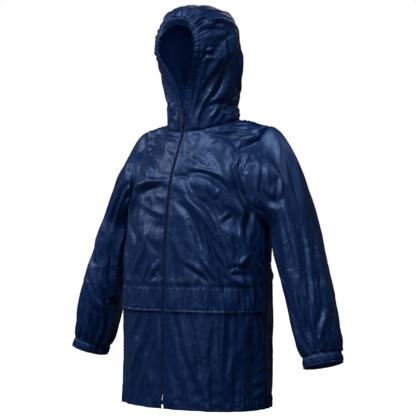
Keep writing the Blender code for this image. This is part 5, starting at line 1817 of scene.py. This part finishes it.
class COAT_OT_stitching(bpy.types.Operator):
    """Topstitching along the seams, hems, casings and flaps"""

    bl_idname = "coat.stitching"
    bl_label = "Stitching"

    def execute(self, context):
        tree = row_tree("stitch_row", segments=5, rings=3, pivot="AUTO")
        body = [hem_line(SHELLS[name]) for name in ("front_left", "front_right", "back")]
        neck, wrists, hood = [], [], []
        for side, _, middle, _ in SIDES:
            for lines, name, edge, inset in (
                (body, "front_", middle, 0.0025),
                (body, "pocket_flap_", "bottom", 0.006),
                (body, "pocket_flap_", "top", 0.0045),
                (body, "pocket_flap_", "top", 0.008),
                (neck, "hood_", "bottom", 0.003),
                (neck, "hood_", "bottom", 0.008),
                (hood, "hood_", "top", 0.003),
                (hood, "hood_", middle, 0.0025),
                (wrists, "cuff_", "top", 0.003),
                (wrists, "cuff_", "bottom", 0.003),
            ):
                lines.append(inset_line(SHELLS[name + side], edge, inset))
        for edge, inset in (("first", 0.0025), ("last", 0.0015)):
            hood.append(inset_line(SHELLS["hood_casing"], edge, inset))
        lengths = {
            "Pitch": sizes().stitch,
            "Length": sizes().stitch * STITCH_LENGTH,
            "Width": sizes().thread * STITCH_WIDTH,
            "Thickness": sizes().thread * STITCH_HEIGHT,
        }
        for name, lines in (("body", body), ("neck", neck), ("cuff", wrists), ("hood", hood)):
            rows = run_rows(name + "_stitches", tree, lines, "thread", lengths)
            place(rows, COAT, "coated_nylon")
        return {"FINISHED"}


def zip_line():
    """The middle of the zip up the fronts and the hood, on the outer side of the cloth."""
    line = (SHELLS["front_left"].grid[:, 0] + SHELLS["front_right"].grid[:, -1]) / 2
    casing = SHELLS["hood_casing"].grid[CASING_FIRST:CASING_LAST, 0]
    line = np.concatenate([line, casing])
    line[:, 0] = 0.0
    return line


def zip_tape(side, sign):
    """One woven tape, from beside the teeth to the inside of the front and casing."""
    front, casing = SHELLS["front_" + side], SHELLS["hood_casing"]
    picks = np.arange(TAPE_COLUMNS)
    lower, upper = np.s_[:, picks], np.s_[CASING_FIRST:CASING_LAST, 3 * picks]
    if sign < 0:
        lower = np.s_[:, -1 - picks]
        upper = np.s_[-CASING_FIRST - 1 : -CASING_LAST - 1 : -1, 3 * picks]
    cloth = np.concatenate([front.grid[lower], casing.grid[upper]])
    inward = -np.concatenate([front.normals[lower], casing.normals[upper]])
    low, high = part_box("zip_tape_" + side)
    keep = (cloth[:, 0, 2] > low.z) & (cloth[:, 0, 2] < high.z)
    flat = cloth[keep] + inward[keep] * TAPE_BEHIND
    edge = flat[:, :1].copy()
    edge[..., 0] = sign * TOOTH_EDGE
    grid = np.concatenate([edge, flat], axis=1)[:, ::sign]
    return Shell("zip_tape_" + side, grid, np.abs(grid[..., 0]) / MM, grid[..., 2] / MM)


def repaint(node, finish):
    materials = NODES[node].data.materials
    materials.clear()
    materials.append(material(finish))


class COAT_OT_zip(bpy.types.Operator):
    """The zip's coil teeth, its tapes and its foot box"""

    bl_idname = "coat.zip"
    bl_label = "Zip"

    def execute(self, context):
        pitch = sizes().tooth
        low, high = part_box("zip_coil")
        middle = zip_line()
        z = np.linspace(low.z + COIL_END, high.z - COIL_END, COIL_POINTS)
        line = points(0 * z, np.interp(z, middle[:, 2], middle[:, 1]) + COIL_SET_IN, z)
        tree = row_tree("tooth_row", segments=6, rings=4, pivot="X")
        tooth = {"Width": TOOTH_WIDTH, "Thickness": TOOTH_THICKNESS}
        for side, sign, *_ in SIDES:
            start = line if sign > 0 else line + np.array([0, 0, pitch / 2])
            lengths = {"Pitch": pitch, "Length": pitch * TOOTH_LENGTH, **tooth}
            lengths["Offset"] = sign * TOOTH_OFFSET
            rows = run_rows("zip_teeth_" + side, tree, [start], "coil", lengths)
            place(rows, COAT, "zip_plastic", *(["zip_coil"] if sign > 0 else []))
        for side, sign, *_ in SIDES:
            tape, woven = zip_tape(side, sign), ("tape", "zip_tape", TAPE_THICKNESS)
            under = [f"front_{side}_cloth"]
            finish_cloth(tape, (), *woven, flat=(0.013, 0.72), held="draped", rests_on=under)
        repaint("zip_box", "coil")
        return {"FINISHED"}


def rounded_plate(name, outline, holes, y_front, y_back, finish):
    """A flat plate in the XZ plane with rounded edges, from an outline and its holes."""
    curve = bpy.data.curves.new(name, "CURVE")
    curve.dimensions = "2D"
    curve.fill_mode = "BOTH"
    curve.extrude = max(0.0, (y_back - y_front) / 2 - PULL_BEVEL)
    curve.bevel_depth = PULL_BEVEL
    curve.bevel_resolution = 2
    for ring in (outline, *holes):
        spline = curve.splines.new("POLY")
        spline.points.add(len(ring) - 1)
        for point, (x, z) in zip(spline.points, ring):
            point.co = (x, z, 0, 1)
        spline.use_cyclic_u = True
    curve.offset = -PULL_BEVEL
    mesh = evaluated_mesh(new_object(name + "_outline", curve), name)
    upright = ((1, 0, 0, 0), (0, 0, -1, (y_front + y_back) / 2), (0, 1, 0, 0), (0, 0, 0, 1))
    mesh.transform(mathutils.Matrix(upright))
    mesh.materials.clear()
    mesh.materials.append(material(finish))
    mesh.set_sharp_from_angle(angle=math.radians(40))
    return new_object(name, mesh)


def rounded_outline(half_width, bottom, top, corner, steps=5):
    """The points of a rounded rectangle about the middle line."""
    x, low, high = half_width - corner, bottom + corner, top - corner
    ring = []
    for cx, cz, start in ((x, low, -90), (x, high, 0), (-x, high, 90), (-x, low, 180)):
        for i in range(steps + 1):
            a = math.radians(start + 90 * i / steps)
            ring.append((cx + corner * math.cos(a), cz + corner * math.sin(a)))
    return ring


class COAT_OT_slider(bpy.types.Operator):
    """The slider body with its bail, and the pull tab that hangs from it"""

    bl_idname = "coat.slider"
    bl_label = "Slider and Pull"

    def execute(self, context):
        repaint("zip_slider", "enamel")
        low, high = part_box("zip_pull")
        mid, half, inner = (low.y + high.y) / 2, (high.y - low.y) / 2, high.z - PULL_RIM
        outline = rounded_outline(high.x, low.z, high.z, PULL_RIM)
        slot = rounded_outline(high.x - PULL_RIM, high.z - PULL_SLOT, inner, PULL_CORNER)
        eye = rounded_outline(PULL_EYE, low.z + EYE_LOW, low.z + EYE_HIGH, PULL_RIM)
        holes = (slot[::-1], eye[::-1])
        pull = rounded_plate("pull_tab", outline, holes, mid - half, mid + half, "enamel")
        place(pull, PULL, "zip_metal", "zip_pull")
        return {"FINISHED"}


# ---- stage


class COAT_OT_stage(bpy.types.Operator):
    """Pale floor, soft lights and the camera"""

    bl_idname = "coat.stage"
    bl_label = "Stage"

    def execute(self, context):
        scene = context.scene
        scene.view_settings.view_transform = "Standard"
        mesh = bpy.data.meshes.new("studio_floor")
        corners = ((-1, -1), (1, -1), (1, 1), (-1, 1))
        corners = [(x * FLOOR_HALF, y * FLOOR_HALF, FLOOR_Z) for x, y in corners]
        mesh.from_pydata(corners, [], [(0, 1, 2, 3)])
        paper, _, shader = new_material("studio_paper")
        matt = {"Base Color": (*scene.coat_colours.floor, 1), "Roughness": 0.9}
        feed(shader, {**matt, "Emission Color": (1, 1, 1, 1), "Emission Strength": 1.0})
        mesh.materials.append(paper)
        floor = new_object("studio_floor", mesh)
        floor.visible_glossy = False
        floor.visible_diffuse = False

        world = bpy.data.worlds.new("studio")
        scene.world = world
        world.use_nodes = True
        tree = world.node_tree
        tree.nodes.clear()
        path = add_node(tree, "ShaderNodeLightPath").outputs["Is Camera Ray"]
        dim = {"Color": (0.80, 0.90, 1.0, 1), "Strength": 0.06}
        white = {"Color": (1, 1, 1, 1), "Strength": 1.0}
        dim, white = (add_node(tree, "ShaderNodeBackground", value) for value in (dim, white))
        mix = add_node(tree, "ShaderNodeMixShader", {0: path, 1: dim, 2: white})
        add_node(tree, "ShaderNodeOutputWorld", {0: mix})

        turn = math.radians(VIEW_TURN)
        right = np.array([math.cos(turn), math.sin(turn), 0.0])
        ahead = np.array([-math.sin(turn), math.cos(turn), 0.0])
        up = np.array([0.0, 0.0, 1.0])
        middle = np.array(LIGHTS_MIDDLE)
        for row in LAMPS:
            light = bpy.data.lights.new(row.name, "AREA")
            light.shape = "DISK"
            light.size = row.size
            light.energy = row.power
            light.color = row.tint
            lamp = new_object(row.name, light)
            where = middle + right * row.right + ahead * row.away + up * row.up
            lamp.location = where
            aim = mathutils.Vector(middle - where).to_track_quat("-Z", "Y")
            lamp.rotation_euler = aim.to_euler()

        lens = bpy.data.cameras.new("camera")
        lens.lens = LENS_LENGTH
        lens.sensor_width = FILM_WIDTH
        lens.shift_x = SHIFT_X
        lens.shift_y = SHIFT_Y
        camera = new_object("camera", lens)
        camera.location = -ahead * CAMERA_AWAY + up * CAMERA_Z
        camera.rotation_euler = (math.pi / 2, 0, turn)
        scene.camera = camera
        return {"FINISHED"}


class COAT_PT_panel(bpy.types.Panel):
    """Lists the jacket's pieces and its settings"""

    bl_label = "Rain Jacket"
    bl_idname = "COAT_PT_panel"
    bl_space_type = "VIEW_3D"
    bl_region_type = "UI"
    bl_category = "Rain Jacket"

    def draw(self, context):
        for group in (context.scene.coat_sizes, context.scene.coat_colours):
            box = self.layout.box()
            for name in group.__annotations__:
                box.prop(group, name)
        for operator in OPERATORS:
            self.layout.operator(operator.bl_idname)


OPERATORS = (
    COAT_OT_body,
    COAT_OT_sleeves,
    COAT_OT_cuffs,
    COAT_OT_hood,
    COAT_OT_casing,
    COAT_OT_flaps,
    COAT_OT_zip,
    COAT_OT_slider,
    COAT_OT_stitching,
    COAT_OT_stage,
)
CLASSES = (CoatSizes, CoatColours, *OPERATORS, COAT_PT_panel)


def register():
    for cls in CLASSES:
        bpy.utils.register_class(cls)
    bpy.types.Scene.coat_sizes = bpy.props.PointerProperty(type=CoatSizes)
    bpy.types.Scene.coat_colours = bpy.props.PointerProperty(type=CoatColours)


def unregister():
    del bpy.types.Scene.coat_colours
    del bpy.types.Scene.coat_sizes
    for cls in reversed(CLASSES):
        bpy.utils.unregister_class(cls)


def main():
    register()
    for operator in OPERATORS:
        group, name = operator.bl_idname.split(".")
        getattr(getattr(bpy.ops, group), name)()


if __name__ == "__main__":
    main()
